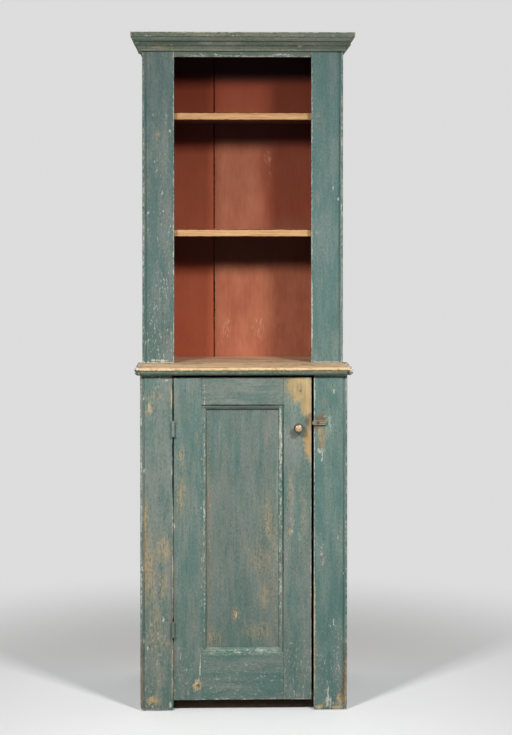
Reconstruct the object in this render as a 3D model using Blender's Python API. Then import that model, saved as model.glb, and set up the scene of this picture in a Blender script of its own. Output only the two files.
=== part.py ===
"""Step-back cupboard: an open upper case over a deeper lower case with one panelled door.

Units are metres with +Z up. X runs along the front, the front looks towards -Y, and the
origin lies on the floor under the middle of the overall box.
"""

import math

import bmesh
import bpy
from mathutils import Matrix, Vector

# Clearances
FIT = 0.0003
CUT = 0.002
MERGE = 0.000001

# Case boards
CASE_WIDTH = 0.585
CASE_HEIGHT = 1.930
UPPER_DEPTH = 0.254
STEP_DEPTH = 0.168
SIDE_THICK = 0.022
TOP_THICK = 0.018
TOP_SINK = 0.007
DADO_DEPTH = 0.008

# Face frames
FRAME_THICK = 0.022
UPPER_STILE_WIDTH = 0.0925
LOWER_LEFT_STILE_WIDTH = 0.091
LOWER_RIGHT_STILE_WIDTH = 0.095
FRIEZE_HEIGHT = 0.044
FRIEZE_TENON_LENGTH = 0.030
FRIEZE_TENON_THICK = 0.008
FRIEZE_TENON_SHOULDER = 0.008
BEAD_RADIUS = 0.005
QUIRK_WIDTH = 0.0022
QUIRK_DEPTH = 0.003

# Shelves
SHELF_THICK = 0.021
SHELF_EASE = 0.0025
BOTTOM_TOP = 0.052
LOWER_SHELF_TOP = 0.500
MIDDLE_SHELF_TOP = 1.359
UPPER_SHELF_TOP = 1.700

# Waist board
WAIST_TOP = 0.9705
WAIST_THICK = 0.0215
WAIST_FRONT_OVERHANG = 0.020
WAIST_END_OVERHANG = 0.015
WAIST_JOINT = 0.090
WAIST_NOSE = 0.0045
WAIST_NOSE_HEIGHT = 0.0075
WAIST_QUIRK_DEPTH = 0.0018
WAIST_QUIRK_HEIGHT = 0.0018
WAIST_OVOLO = 0.0095
WAIST_OVOLO_BULGE = 0.003

# Back boards
BACK_THICK = 0.014
BACK_RABBET = 0.011
BACK_FOOT = 0.025
BACK_SEAM_X = -0.083
BACK_SEAM_GAP = 0.003
BACK_LAP = 0.010

# Cornice members, from the top down
CORNICE_FILLET = 0.0135
CORNICE_FILLET_STEP = 0.0022
CORNICE_OVOLO = 0.013
CORNICE_OVOLO_DEPTH = 0.008
CORNICE_OVOLO_BULGE = 0.0016
CORNICE_SOFFIT = 0.0018
CORNICE_FASCIA = 0.0105
CORNICE_COVE_STEP = 0.0012
CORNICE_COVE = 0.0095
CORNICE_COVE_DEPTH = 0.0105
CORNICE_COVE_BULGE = 0.0018
CORNICE_BEAD_STEP = 0.001
CORNICE_BEAD = 0.007
CORNICE_BEAD_BULGE = 0.0014
CORNICE_TOE = 0.0078

# Door
HINGE_GAP = 0.0035
LATCH_GAP = 0.0065
DOOR_TOP_GAP = 0.0065
DOOR_BOTTOM = 0.0305
DOOR_THICK = 0.022
DOOR_SETBACK = 0.0005
DOOR_STOP_GAP = 0.001
DOOR_STILE_WIDTH = 0.0785
DOOR_TOP_RAIL = 0.077
DOOR_BOTTOM_RAIL = 0.133
DOOR_TENON_SHOULDER = 0.014
STICKING_WIDTH = 0.0145
STICKING_QUIRK = 0.0036
STICKING_QUIRK_DEPTH = 0.005
STICKING_CROWN_DROP = 0.0012
STICKING_DEPTH = 0.008
STICKING_BULGE = 0.0019
STICKING_LIP = 0.0015
GROOVE_WIDTH = 0.006
GROOVE_DEPTH = 0.010
PANEL_PLAY = 0.001
PANEL_FIELD = 0.0055
PANEL_BEVEL = 0.028
PEG_DIAMETER = 0.007
PEG_FROM_EDGE = 0.031

# Hinges
UPPER_HINGE_Z = 0.798
LOWER_HINGE_Z = 0.231
HINGE_HEIGHT = 0.043
BARREL_DIAMETER = 0.0095
LEAF_THICK = 0.0024
LEAF_GAP = 0.0006
LEAF_WIDTH = 0.017
PIN_DIAMETER = 0.004
PIN_CLEARANCE = 0.0003
PIN_HEAD = 0.0012
KNUCKLES = 5

# Knob
KNOB_FROM_EDGE = 0.037
KNOB_Z = 0.8005
KNOB_DIAMETER = 0.025
KNOB_PROJECTION = 0.027
KNOB_BASE_DIAMETER = 0.017
KNOB_BASE = 0.003
KNOB_BASE_BULGE = 0.0006
KNOB_NECK_DIAMETER = 0.0105
KNOB_NECK = 0.005
KNOB_NECK_HOLLOW = 0.0009
KNOB_UNDER_BULGE = 0.0024
KNOB_CROWN = 0.009
SPIGOT_DIAMETER = 0.010
SPIGOT_SHY = 0.002

# Turn button
BUTTON_FROM_EDGE = 0.011
BUTTON_Z = 0.814
BUTTON_SHY = 0.0014
BUTTON_LONG = 0.0249
BUTTON_HEIGHT = 0.013
BUTTON_THICK = 0.006
BUTTON_CHAMFER = 0.0012
BUTTON_RUB = 0.0005
SCREW_DIAMETER = 0.004
SCREW_CLEARANCE = 0.0004
SCREW_LENGTH = 0.024
SCREW_HEAD_DIAMETER = 0.0085
SCREW_HEAD = 0.0022

# Facets
ARC_STEPS = 6
TURNED_STEPS = 28
PIN_STEPS = 20
CREASE = math.radians(40)

# Places worked out from the sizes above
FACE_Y = (KNOB_PROJECTION - DOOR_SETBACK - STEP_DEPTH - UPPER_DEPTH) / 2
UPPER_FACE_Y = FACE_Y + STEP_DEPTH
BACK_Y = UPPER_FACE_Y + UPPER_DEPTH
BACK_FACE_Y = BACK_Y - BACK_THICK
LOWER_SIDE_FRONT = FACE_Y + FRAME_THICK + FIT
UPPER_SIDE_FRONT = UPPER_FACE_Y + FRAME_THICK + FIT
OUTER_HALF = CASE_WIDTH / 2
INNER_HALF = OUTER_HALF - SIDE_THICK
HOUSED_HALF = INNER_HALF + DADO_DEPTH
TOP_UNDER = CASE_HEIGHT - TOP_SINK - TOP_THICK
WAIST_UNDER = WAIST_TOP - WAIST_THICK
LOWER_LEFT_EDGE = -OUTER_HALF + LOWER_LEFT_STILE_WIDTH
LOWER_RIGHT_EDGE = OUTER_HALF - LOWER_RIGHT_STILE_WIDTH
UPPER_EDGE = OUTER_HALF - UPPER_STILE_WIDTH

DOOR_LEFT = LOWER_LEFT_EDGE + HINGE_GAP
DOOR_RIGHT = LOWER_RIGHT_EDGE - LATCH_GAP
DOOR_TOP = WAIST_UNDER - DOOR_TOP_GAP
DOOR_FACE = FACE_Y + DOOR_SETBACK
DOOR_BACK = DOOR_FACE + DOOR_THICK
DOOR_STOP_Y = max(DOOR_BACK + DOOR_STOP_GAP, LOWER_SIDE_FRONT)
SHOULDER_LEFT = DOOR_LEFT + DOOR_STILE_WIDTH
SHOULDER_RIGHT = DOOR_RIGHT - DOOR_STILE_WIDTH
SHOULDER_LOW = DOOR_BOTTOM + DOOR_BOTTOM_RAIL
SHOULDER_HIGH = DOOR_TOP - DOOR_TOP_RAIL
GROOVE_FRONT = DOOR_FACE + STICKING_DEPTH + STICKING_LIP
GROOVE_BACK = GROOVE_FRONT + GROOVE_WIDTH

HINGE_X = LOWER_LEFT_EDGE + HINGE_GAP / 2
BARREL_RADIUS = BARREL_DIAMETER / 2
HINGE_Y = FACE_Y - FIT - BARREL_RADIUS
KNOB_X = DOOR_RIGHT - KNOB_FROM_EDGE
BUTTON_X = LOWER_RIGHT_EDGE + BUTTON_FROM_EDGE
BUTTON_SHORT = BUTTON_FROM_EDGE + LATCH_GAP - BUTTON_SHY
BUTTON_BACK = FACE_Y - BUTTON_RUB
BUTTON_FRONT = BUTTON_BACK - BUTTON_THICK

LEFT, RIGHT = -1, 1
OTHER_AXES = {"X": (1, 2, 0), "Y": (0, 2, 1), "Z": (0, 1, 2)}


def clear_scene():
    for obj in list(bpy.data.objects):
        bpy.data.objects.remove(obj)


def linear(channel):
    """A colour channel from 0 to 255, as light."""
    value = channel / 255
    return value / 12.92 if value <= 0.04045 else ((value + 0.055) / 1.055) ** 2.4


def finish(name, colour, roughness, metallic=0.0):
    material = bpy.data.materials.new(name)
    material.use_nodes = True
    shader = material.node_tree.nodes["Principled BSDF"]
    shader.inputs["Base Color"].default_value = (*map(linear, colour), 1.0)
    shader.inputs["Roughness"].default_value = roughness
    shader.inputs["Metallic"].default_value = metallic
    material.diffuse_color = (*map(linear, colour), 1.0)
    return material


def finishes():
    return {
        "green_paint": finish("worn_green_paint", (110, 129, 121), 0.62),
        "cornice_paint": finish("dark_olive_paint", (94, 99, 86), 0.62),
        "red_paint": finish("red_wash", (160, 92, 70), 0.75),
        "bare_pine": finish("bare_pine", (205, 164, 116), 0.70),
        "worn_pine": finish("worn_pine", (178, 146, 117), 0.66),
        "turned_wood": finish("turned_wood", (176, 148, 116), 0.45),
        "iron": finish("painted_iron", (96, 108, 101), 0.55, 0.6),
    }


def arc(start, end, bulge, steps=ARC_STEPS):
    """Points of a circular arc from start to end, whose middle stands bulge to the left."""
    start, end = Vector(start), Vector(end)
    chord = end - start
    half = chord.length / 2
    radius = (half * half + bulge * bulge) / (2 * bulge)
    left = Vector((-chord.y, chord.x)).normalized()
    centre = (start + end) / 2 + left * (bulge - radius)
    sweep = -math.copysign(2 * math.asin(min(1.0, half / abs(radius))), bulge)
    spoke = start - centre
    points = []
    for step in range(steps + 1):
        angle = sweep * step / steps
        turned_spoke = Matrix.Rotation(angle, 2) @ spoke
        points.append(tuple(centre + turned_spoke))
    return points


def quarter(start, end, centre, steps=ARC_STEPS):
    """Points of a quarter of a circle or ellipse from start to end."""
    centre = Vector(centre)
    first, last = Vector(start) - centre, Vector(end) - centre
    points = []
    for step in range(steps + 1):
        angle = math.pi / 2 * step / steps
        points.append(tuple(centre + first * math.cos(angle) + last * math.sin(angle)))
    return points


def block(shape, corner, opposite):
    """Adds a box between two opposite corners."""
    low = Vector(map(min, corner, opposite))
    high = Vector(map(max, corner, opposite))
    made = bmesh.ops.create_cube(shape, size=1.0)
    bmesh.ops.scale(shape, verts=made["verts"], vec=high - low)
    bmesh.ops.translate(shape, verts=made["verts"], vec=(low + high) / 2)
    return shape


def prism(outline, axis, start, end):
    """An outline in the two other axes, extruded along the named axis."""
    across, up, along = OTHER_AXES[axis]
    shape = bmesh.new()
    corners = []
    for first, second in outline:
        point = Vector()
        point[across], point[up], point[along] = first, second, start
        corners.append(shape.verts.new(point))
    face = shape.faces.new(corners)
    grown = bmesh.ops.extrude_face_region(shape, geom=[face])["geom"]
    shift = Vector()
    shift[along] = end - start
    moved = [item for item in grown if isinstance(item, bmesh.types.BMVert)]
    bmesh.ops.translate(shape, verts=moved, vec=shift)
    bmesh.ops.recalc_face_normals(shape, faces=shape.faces)
    return shape


def loft(rings):
    """A closed shape through rings with equal counts of points, capped at both ends."""
    shape = bmesh.new()
    loops = []
    for ring in rings:
        loops.append([shape.verts.new(point) for point in ring])
    for near, far in zip(loops, loops[1:]):
        for here in range(len(near)):
            there = (here + 1) % len(near)
            shape.faces.new((near[here], near[there], far[there], far[here]))
    shape.faces.new(loops[0])
    shape.faces.new(loops[-1])
    bmesh.ops.recalc_face_normals(shape, faces=shape.faces)
    return shape


def turned(profile, steps=TURNED_STEPS):
    """Radius and height points, both ends on the axis, spun about Z."""
    shape = bmesh.new()
    points = [shape.verts.new((radius, 0.0, height)) for radius, height in profile]
    edges = [shape.edges.new(pair) for pair in zip(points, points[1:])]
    bmesh.ops.spin(
        shape, geom=points + edges, axis=(0, 0, 1), cent=(0, 0, 0), angle=math.tau, steps=steps
    )
    bmesh.ops.remove_doubles(shape, verts=shape.verts, dist=MERGE)
    bmesh.ops.recalc_face_normals(shape, faces=shape.faces)
    return shape


def rod(radius, start, end, steps=PIN_STEPS):
    """A plain turned rod along Z."""
    return turned([(0.0, end), (radius, end), (radius, start), (0.0, start)], steps)


def facing_front(shape, place):
    """Turns a shape that was made along +Z to look along -Y, and moves it to its place."""
    matrix = Matrix.Translation(place) @ Matrix.Rotation(math.pi / 2, 4, "X")
    bmesh.ops.transform(shape, matrix=matrix, verts=shape.verts)
    return shape


def standing(shape, x, y):
    bmesh.ops.translate(shape, verts=shape.verts, vec=(x, y, 0.0))
    return shape


def mesh_object(name, shape):
    mesh = bpy.data.meshes.new(name)
    shape.to_mesh(mesh)
    shape.free()
    obj = bpy.data.objects.new(name, mesh)
    bpy.context.scene.collection.objects.link(obj)
    return obj


def work(obj, tool, operation):
    """Cuts a tool out of an object, or joins it on, and keeps the outcome as its mesh."""
    helper = mesh_object("tool", tool)
    boolean = obj.modifiers.new(operation.lower(), "BOOLEAN")
    boolean.operation = operation
    boolean.object = helper
    graph = bpy.context.evaluated_depsgraph_get()
    worked = bpy.data.meshes.new_from_object(obj.evaluated_get(graph))
    obj.modifiers.clear()
    obj.data = worked
    bpy.data.objects.remove(helper)


def cut(obj, tool):
    work(obj, tool, "DIFFERENCE")


def join(obj, tool):
    work(obj, tool, "UNION")


def seat(obj, material, origin=None, parent=None, smooth_angle=None):
    """Gives an object its finish, and puts its origin in its middle or at a joint."""
    mesh = obj.data
    if origin is None:
        corners = [Vector(corner) for corner in obj.bound_box]
        origin = (corners[0] + corners[6]) / 2
    mesh.transform(Matrix.Translation(-Vector(origin)))
    obj.location = origin
    if parent is not None:
        obj.parent = parent
        obj.location = Vector(origin) - parent.location
    mesh.materials.clear()
    mesh.materials.append(material)
    if smooth_angle is not None:
        mesh.shade_smooth()
        mesh.set_sharp_from_angle(angle=smooth_angle)
    return obj


def empty(name, place):
    obj = bpy.data.objects.new(name, None)
    obj.location = place
    bpy.context.scene.collection.objects.link(obj)
    return obj


def side_board(name, hand, looks):
    """A stepped side, with through housings for the boards and a rabbet up its back edge."""
    step = WAIST_UNDER - FIT
    top = TOP_UNDER - FIT
    outline = [
        (LOWER_SIDE_FRONT, 0.0),
        (BACK_Y, 0.0),
        (BACK_Y, top),
        (UPPER_SIDE_FRONT, top),
        (UPPER_SIDE_FRONT, step),
        (LOWER_SIDE_FRONT, step),
    ]
    side = mesh_object(name, prism(outline, "X", hand * INNER_HALF, hand * OUTER_HALF))
    rabbet_front = (hand * (INNER_HALF - CUT), BACK_FACE_Y - FIT, -CUT)
    rabbet_back = (hand * (INNER_HALF + BACK_RABBET), BACK_Y + CUT, top + CUT)
    cut(side, block(bmesh.new(), rabbet_front, rabbet_back))
    housed = [
        (BOTTOM_TOP, SHELF_THICK, LOWER_SIDE_FRONT),
        (LOWER_SHELF_TOP, SHELF_THICK, LOWER_SIDE_FRONT),
        (WAIST_TOP, WAIST_THICK, UPPER_SIDE_FRONT),
        (MIDDLE_SHELF_TOP, SHELF_THICK, UPPER_SIDE_FRONT),
        (UPPER_SHELF_TOP, SHELF_THICK, UPPER_SIDE_FRONT),
    ]
    housings = bmesh.new()
    for board_top, thick, front in housed:
        near = (hand * (INNER_HALF - CUT), front - CUT, board_top - thick - FIT)
        far = (hand * (HOUSED_HALF + FIT), BACK_FACE_Y + CUT, board_top + FIT)
        block(housings, near, far)
    cut(side, housings)
    return seat(side, looks["green_paint"])


def shelf(name, top, front, material):
    """A board housed in both sides, with its two front arrises eased."""
    low = top - SHELF_THICK
    eased = front + SHELF_EASE
    upper, lower = top - SHELF_EASE, low + SHELF_EASE
    outline = [(BACK_FACE_Y - 2 * FIT, low), (BACK_FACE_Y - 2 * FIT, top)]
    outline += quarter((eased, top), (front, upper), (eased, upper))
    outline += quarter((front, lower), (eased, low), (eased, lower))
    return seat(mesh_object(name, prism(outline, "X", -HOUSED_HALF, HOUSED_HALF)), material)


def waist_edge():
    """Inset and drop points of the waist board's moulded edge, from its top down."""
    ovolo_top = WAIST_NOSE_HEIGHT + WAIST_QUIRK_HEIGHT
    points = quarter((WAIST_NOSE, 0.0), (0.0, WAIST_NOSE), (WAIST_NOSE, WAIST_NOSE))
    points += [(0.0, WAIST_NOSE_HEIGHT), (WAIST_QUIRK_DEPTH, WAIST_NOSE_HEIGHT)]
    points.append((WAIST_QUIRK_DEPTH, ovolo_top))
    points += arc((0.0, ovolo_top), (WAIST_OVOLO, WAIST_THICK), WAIST_OVOLO_BULGE)
    return points


def waist_board_front(looks):
    """The front width: moulded on three edges, notched round the upper sides."""
    ear_back = UPPER_SIDE_FRONT - 2 * FIT
    joint = UPPER_FACE_Y + WAIST_JOINT - FIT
    rings = []
    for inset, drop in waist_edge():
        front = FACE_Y - WAIST_FRONT_OVERHANG + inset
        ear = OUTER_HALF + WAIST_END_OVERHANG - inset
        right = [(ear, front), (ear, ear_back), (HOUSED_HALF, ear_back), (HOUSED_HALF, joint)]
        left = [(-x, y) for x, y in reversed(right)]
        rings.append([(x, y, WAIST_TOP - drop) for x, y in right + left])
    return seat(mesh_object("waist_board_front", loft(rings)), looks["worn_pine"])


def waist_board_rear(looks):
    front = (-HOUSED_HALF, UPPER_FACE_Y + WAIST_JOINT, WAIST_UNDER)
    back = (HOUSED_HALF, BACK_FACE_Y - 2 * FIT, WAIST_TOP)
    return seat(mesh_object("waist_board_rear", block(bmesh.new(), front, back)), looks["worn_pine"])


def case_top(looks):
    front = (-OUTER_HALF, UPPER_FACE_Y, TOP_UNDER)
    back = (OUTER_HALF, BACK_Y, TOP_UNDER + TOP_THICK)
    return seat(mesh_object("case_top", block(bmesh.new(), front, back)), looks["bare_pine"])


def back_boards(looks):
    """Two upright boards, whose half laps close the gap that shrinkage opened between them."""
    outer = INNER_HALF + BACK_RABBET - FIT
    middle = BACK_FACE_Y + BACK_THICK / 2
    left_edge = BACK_SEAM_X - BACK_SEAM_GAP / 2
    right_edge = BACK_SEAM_X + BACK_SEAM_GAP / 2
    left = [
        (-outer, BACK_FACE_Y),
        (left_edge, BACK_FACE_Y),
        (left_edge, middle + FIT),
        (left_edge + BACK_LAP, middle + FIT),
        (left_edge + BACK_LAP, BACK_Y),
        (-outer, BACK_Y),
    ]
    right = [
        (right_edge, BACK_FACE_Y),
        (outer, BACK_FACE_Y),
        (outer, BACK_Y),
        (right_edge + BACK_LAP, BACK_Y),
        (right_edge + BACK_LAP, middle),
        (right_edge, middle),
    ]
    for name, outline in (("back_board_left", left), ("back_board_right", right)):
        shape = prism(outline, "Z", BACK_FOOT, TOP_UNDER - FIT)
        seat(mesh_object(name, shape), looks["red_paint"])


def stile(name, hand, width, face, low, high):
    """A face-frame upright with a quirk and bead worked on its outer front corner."""
    turn = math.acos(1 - QUIRK_DEPTH / BEAD_RADIUS)
    bead_end = BEAD_RADIUS * (1 + math.sin(turn))
    section = [(width, FRAME_THICK), (0.0, FRAME_THICK)]
    bead_steps = 2 * ARC_STEPS
    sweep = math.pi / 2 + turn
    for step in range(bead_steps + 1):
        angle = sweep * step / bead_steps
        inward = BEAD_RADIUS * (1 - math.cos(angle))
        depth = BEAD_RADIUS * (1 - math.sin(angle))
        section.append((inward, depth))
    quirk_end = bead_end + QUIRK_WIDTH
    section += [(quirk_end, QUIRK_DEPTH), (quirk_end, 0.0), (width, 0.0)]
    outline = [(hand * (OUTER_HALF - inward), face + depth) for inward, depth in section]
    return mesh_object(name, prism(outline, "Z", low, high))


def frieze_tenon(shape, hand, clearance):
    """Adds one tenon of the frieze rail, or its mortise where there is a clearance."""
    middle = UPPER_FACE_Y + FRAME_THICK / 2
    half = FRIEZE_TENON_THICK / 2 + clearance
    high = TOP_UNDER - FIT - FRIEZE_TENON_SHOULDER
    low = TOP_UNDER - FRIEZE_HEIGHT + FRIEZE_TENON_SHOULDER
    near = (hand * (UPPER_EDGE - CUT), middle - half, low - clearance)
    end = UPPER_EDGE + FRIEZE_TENON_LENGTH + clearance
    block(shape, near, (hand * end, middle + half, high + clearance))


def upper_frame(looks):
    """The two upper stiles, which stand on the waist board, and the rail tenoned between."""
    for name, hand in (("upper_left_stile", LEFT), ("upper_right_stile", RIGHT)):
        low, high = WAIST_TOP + FIT, TOP_UNDER - FIT
        upright = stile(name, hand, UPPER_STILE_WIDTH, UPPER_FACE_Y, low, high)
        mortise = bmesh.new()
        frieze_tenon(mortise, hand, FIT)
        cut(upright, mortise)
        seat(upright, looks["green_paint"])
    front = (-UPPER_EDGE + FIT, UPPER_FACE_Y, TOP_UNDER - FRIEZE_HEIGHT)
    back = (UPPER_EDGE - FIT, UPPER_FACE_Y + FRAME_THICK, TOP_UNDER - FIT)
    rail = mesh_object("frieze_rail", block(bmesh.new(), front, back))
    tenons = bmesh.new()
    frieze_tenon(tenons, LEFT, 0.0)
    frieze_tenon(tenons, RIGHT, 0.0)
    join(rail, tenons)
    seat(rail, looks["green_paint"])


def hinge_gain(side, middle):
    """The shallow seat of one hinge leaf: side is LEFT in the case and RIGHT in the door."""
    near = (HINGE_X, FACE_Y - CUT, middle - HINGE_HEIGHT / 2 - FIT)
    deep = HINGE_X + side * (LEAF_GAP / 2 + LEAF_THICK + FIT)
    far = (deep, FACE_Y + LEAF_WIDTH + FIT, middle + HINGE_HEIGHT / 2 + FIT)
    return block(bmesh.new(), near, far)


def lower_frame(looks):
    """The two lower stiles, which run down to the floor as the front feet."""
    high = WAIST_UNDER - FIT
    left = stile("lower_left_stile", LEFT, LOWER_LEFT_STILE_WIDTH, FACE_Y, 0.0, high)
    for middle in (UPPER_HINGE_Z, LOWER_HINGE_Z):
        cut(left, hinge_gain(LEFT, middle))
    seat(left, looks["green_paint"])
    right = stile("lower_right_stile", RIGHT, LOWER_RIGHT_STILE_WIDTH, FACE_Y, 0.0, high)
    hole = rod(SCREW_DIAMETER / 2 + FIT, -SCREW_LENGTH, 0.0)
    cut(right, facing_front(hole, (BUTTON_X, BUTTON_FRONT - FIT, BUTTON_Z)))
    seat(right, looks["green_paint"])


def cornice_section():
    """Projection and drop points of the cornice, from its top edge down to its toe."""
    toe = CORNICE_TOE
    cove_foot = toe + CORNICE_BEAD_STEP
    cove_top = cove_foot + CORNICE_COVE_DEPTH
    fascia = cove_top + CORNICE_COVE_STEP
    ovolo_foot = fascia + CORNICE_SOFFIT
    ovolo_top = ovolo_foot + CORNICE_OVOLO_DEPTH
    edge = ovolo_top + CORNICE_FILLET_STEP
    drop = CORNICE_FILLET
    points = [(edge, 0.0), (edge, drop)]
    points += arc((ovolo_top, drop), (ovolo_foot, drop + CORNICE_OVOLO), -CORNICE_OVOLO_BULGE)
    drop += CORNICE_OVOLO
    points.append((fascia, drop))
    drop += CORNICE_FASCIA
    points.append((fascia, drop))
    points += arc((cove_top, drop), (cove_foot, drop + CORNICE_COVE), CORNICE_COVE_BULGE)
    drop += CORNICE_COVE
    points += arc((toe, drop), (toe, drop + CORNICE_BEAD), -CORNICE_BEAD_BULGE)
    points += [(FIT, drop + CORNICE_BEAD), (FIT, 0.0)]
    return points


def cornice(looks):
    """The front length and its two returns, mitred at the front corners."""
    section = cornice_section()
    front_ends = []
    for hand in (LEFT, RIGHT):
        ring = []
        for out, drop in section:
            ring.append((hand * (OUTER_HALF + out - FIT), UPPER_FACE_Y - out, CASE_HEIGHT - drop))
        front_ends.append(ring)
    seat(mesh_object("cornice_front", loft(front_ends)), looks["cornice_paint"])
    for name, hand in (("cornice_left_return", LEFT), ("cornice_right_return", RIGHT)):
        mitre = []
        rear = []
        for out, drop in section:
            x, z = hand * (OUTER_HALF + out), CASE_HEIGHT - drop
            mitre.append((x, UPPER_FACE_Y - out + FIT, z))
            rear.append((x, BACK_Y, z))
        seat(mesh_object(name, loft([mitre, rear])), looks["cornice_paint"])


def sticking_tool():
    """What the moulding plane takes away round the inside of the door frame."""
    edge = (STICKING_WIDTH, STICKING_DEPTH)
    profile = [(0.0, -CUT), (0.0, STICKING_QUIRK_DEPTH), (STICKING_QUIRK, STICKING_QUIRK_DEPTH)]
    profile += arc((STICKING_QUIRK, STICKING_CROWN_DROP), edge, -STICKING_BULGE)
    profile.append((STICKING_WIDTH + CUT, STICKING_DEPTH))
    rings = []
    for inset, depth in profile:
        left, right = SHOULDER_LEFT + inset, SHOULDER_RIGHT - inset
        low, high = SHOULDER_LOW + inset, SHOULDER_HIGH - inset
        y = DOOR_FACE + depth
        rings.append([(left, y, low), (right, y, low), (right, y, high), (left, y, high)])
    return loft(rings)


def panel_space(grow):
    """Opposite corners, in X and Z, of the groove's floor, grown or shrunk."""
    reach = GROOVE_DEPTH - STICKING_WIDTH + grow
    low = (SHOULDER_LEFT - reach, SHOULDER_LOW - reach)
    high = (SHOULDER_RIGHT + reach, SHOULDER_HIGH + reach)
    return low, high


def groove_tool():
    (left, low), (right, high) = panel_space(0.0)
    return block(bmesh.new(), (left, GROOVE_FRONT, low), (right, GROOVE_BACK, high))


def rail_tenon(shape, hand, low, high, clearance):
    """Adds one through tenon of a door rail, or its mortise where there is a clearance."""
    shoulder = SHOULDER_LEFT if hand == LEFT else SHOULDER_RIGHT
    edge = DOOR_LEFT if hand == LEFT else DOOR_RIGHT
    past = hand * CUT if clearance else 0.0
    near = (shoulder - hand * CUT, GROOVE_FRONT + FIT - clearance, low - clearance)
    far = (edge + past, GROOVE_BACK - FIT + clearance, high + clearance)
    block(shape, near, far)


def tenon_heights():
    """Low and high edges of the tenons on the bottom rail and on the top rail."""
    bottom = (DOOR_BOTTOM + DOOR_TENON_SHOULDER, SHOULDER_LOW - DOOR_TENON_SHOULDER)
    top = (SHOULDER_HIGH + DOOR_TENON_SHOULDER, DOOR_TOP - DOOR_TENON_SHOULDER)
    return bottom, top


def peg_places():
    low = DOOR_BOTTOM + DOOR_BOTTOM_RAIL / 2
    high = DOOR_TOP - DOOR_TOP_RAIL / 2
    return {
        "door_peg_bottom_left": (DOOR_LEFT + PEG_FROM_EDGE, low),
        "door_peg_bottom_right": (DOOR_RIGHT - PEG_FROM_EDGE, low),
        "door_peg_top_left": (DOOR_LEFT + PEG_FROM_EDGE, high),
        "door_peg_top_right": (DOOR_RIGHT - PEG_FROM_EDGE, high),
    }


def bore_peg_holes(obj, side):
    for name, (x, z) in peg_places().items():
        if name.startswith(f"door_peg_{side}") or name.endswith(side):
            hole = rod(PEG_DIAMETER / 2 + FIT, -DOOR_THICK - CUT, CUT)
            cut(obj, facing_front(hole, (x, DOOR_FACE, z)))


def door_stile(name, hand, hinged):
    """A door upright: mitred moulding, panel groove, mortises and peg holes."""
    edge = DOOR_LEFT if hand == LEFT else DOOR_RIGHT
    shoulder = SHOULDER_LEFT if hand == LEFT else SHOULDER_RIGHT
    inner = shoulder - hand * STICKING_WIDTH
    outline = [
        (edge, DOOR_BOTTOM),
        (shoulder, DOOR_BOTTOM),
        (shoulder, SHOULDER_LOW),
        (inner, SHOULDER_LOW + STICKING_WIDTH),
        (inner, SHOULDER_HIGH - STICKING_WIDTH),
        (shoulder, SHOULDER_HIGH),
        (shoulder, DOOR_TOP),
        (edge, DOOR_TOP),
    ]
    upright = mesh_object(name, prism(outline, "Y", DOOR_FACE, DOOR_BACK))
    cut(upright, sticking_tool())
    cut(upright, groove_tool())
    mortises = bmesh.new()
    for low, high in tenon_heights():
        rail_tenon(mortises, hand, low, high, 2 * FIT)
    cut(upright, mortises)
    bore_peg_holes(upright, "left" if hand == LEFT else "right")
    if hinged:
        for middle in (UPPER_HINGE_Z, LOWER_HINGE_Z):
            cut(upright, hinge_gain(RIGHT, middle))
    else:
        hole = rod(SPIGOT_DIAMETER / 2 + FIT, -DOOR_THICK - CUT, CUT, TURNED_STEPS)
        cut(upright, facing_front(hole, (KNOB_X, DOOR_FACE, KNOB_Z)))
    return upright


def door_rail(name, edge, shoulder, heights, side):
    """A door rail between the stiles, with a through tenon at each end."""
    inward = math.copysign(STICKING_WIDTH, shoulder - edge)
    left, right = SHOULDER_LEFT + FIT, SHOULDER_RIGHT - FIT
    outline = [
        (left, edge),
        (right, edge),
        (right, shoulder),
        (right - STICKING_WIDTH, shoulder + inward),
        (left + STICKING_WIDTH, shoulder + inward),
        (left, shoulder),
    ]
    rail = mesh_object(name, prism(outline, "Y", DOOR_FACE, DOOR_BACK))
    cut(rail, sticking_tool())
    cut(rail, groove_tool())
    tenons = bmesh.new()
    for hand in (LEFT, RIGHT):
        rail_tenon(tenons, hand, *heights, 0.0)
    join(rail, tenons)
    bore_peg_holes(rail, side)
    return rail


def door_panel():
    """A panel that is flat in front and bevelled behind to enter the groove."""
    front = GROOVE_FRONT + FIT
    tongue_back = GROOVE_BACK - FIT
    tongue = GROOVE_DEPTH + PANEL_PLAY
    levels = [
        (0.0, front),
        (0.0, tongue_back),
        (tongue, tongue_back),
        (tongue + PANEL_BEVEL, tongue_back + PANEL_FIELD),
    ]
    rings = []
    for inset, y in levels:
        (left, low), (right, high) = panel_space(-PANEL_PLAY - inset)
        rings.append([(left, y, low), (right, y, low), (right, y, high), (left, y, high)])
    return mesh_object("door_panel", loft(rings))


def door(looks, pivot):
    paint = looks["green_paint"]
    bottom, top = tenon_heights()
    framing = [
        door_stile("door_hinge_stile", LEFT, True),
        door_stile("door_latch_stile", RIGHT, False),
        door_rail("door_bottom_rail", DOOR_BOTTOM, SHOULDER_LOW, bottom, "bottom"),
        door_rail("door_top_rail", DOOR_TOP, SHOULDER_HIGH, top, "top"),
        door_panel(),
    ]
    for obj in framing:
        seat(obj, paint, parent=pivot)
    for name, (x, z) in peg_places().items():
        peg = facing_front(rod(PEG_DIAMETER / 2, -DOOR_THICK, 0.0), (x, DOOR_FACE, z))
        seat(mesh_object(name, peg), paint, parent=pivot, smooth_angle=CREASE)


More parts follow.
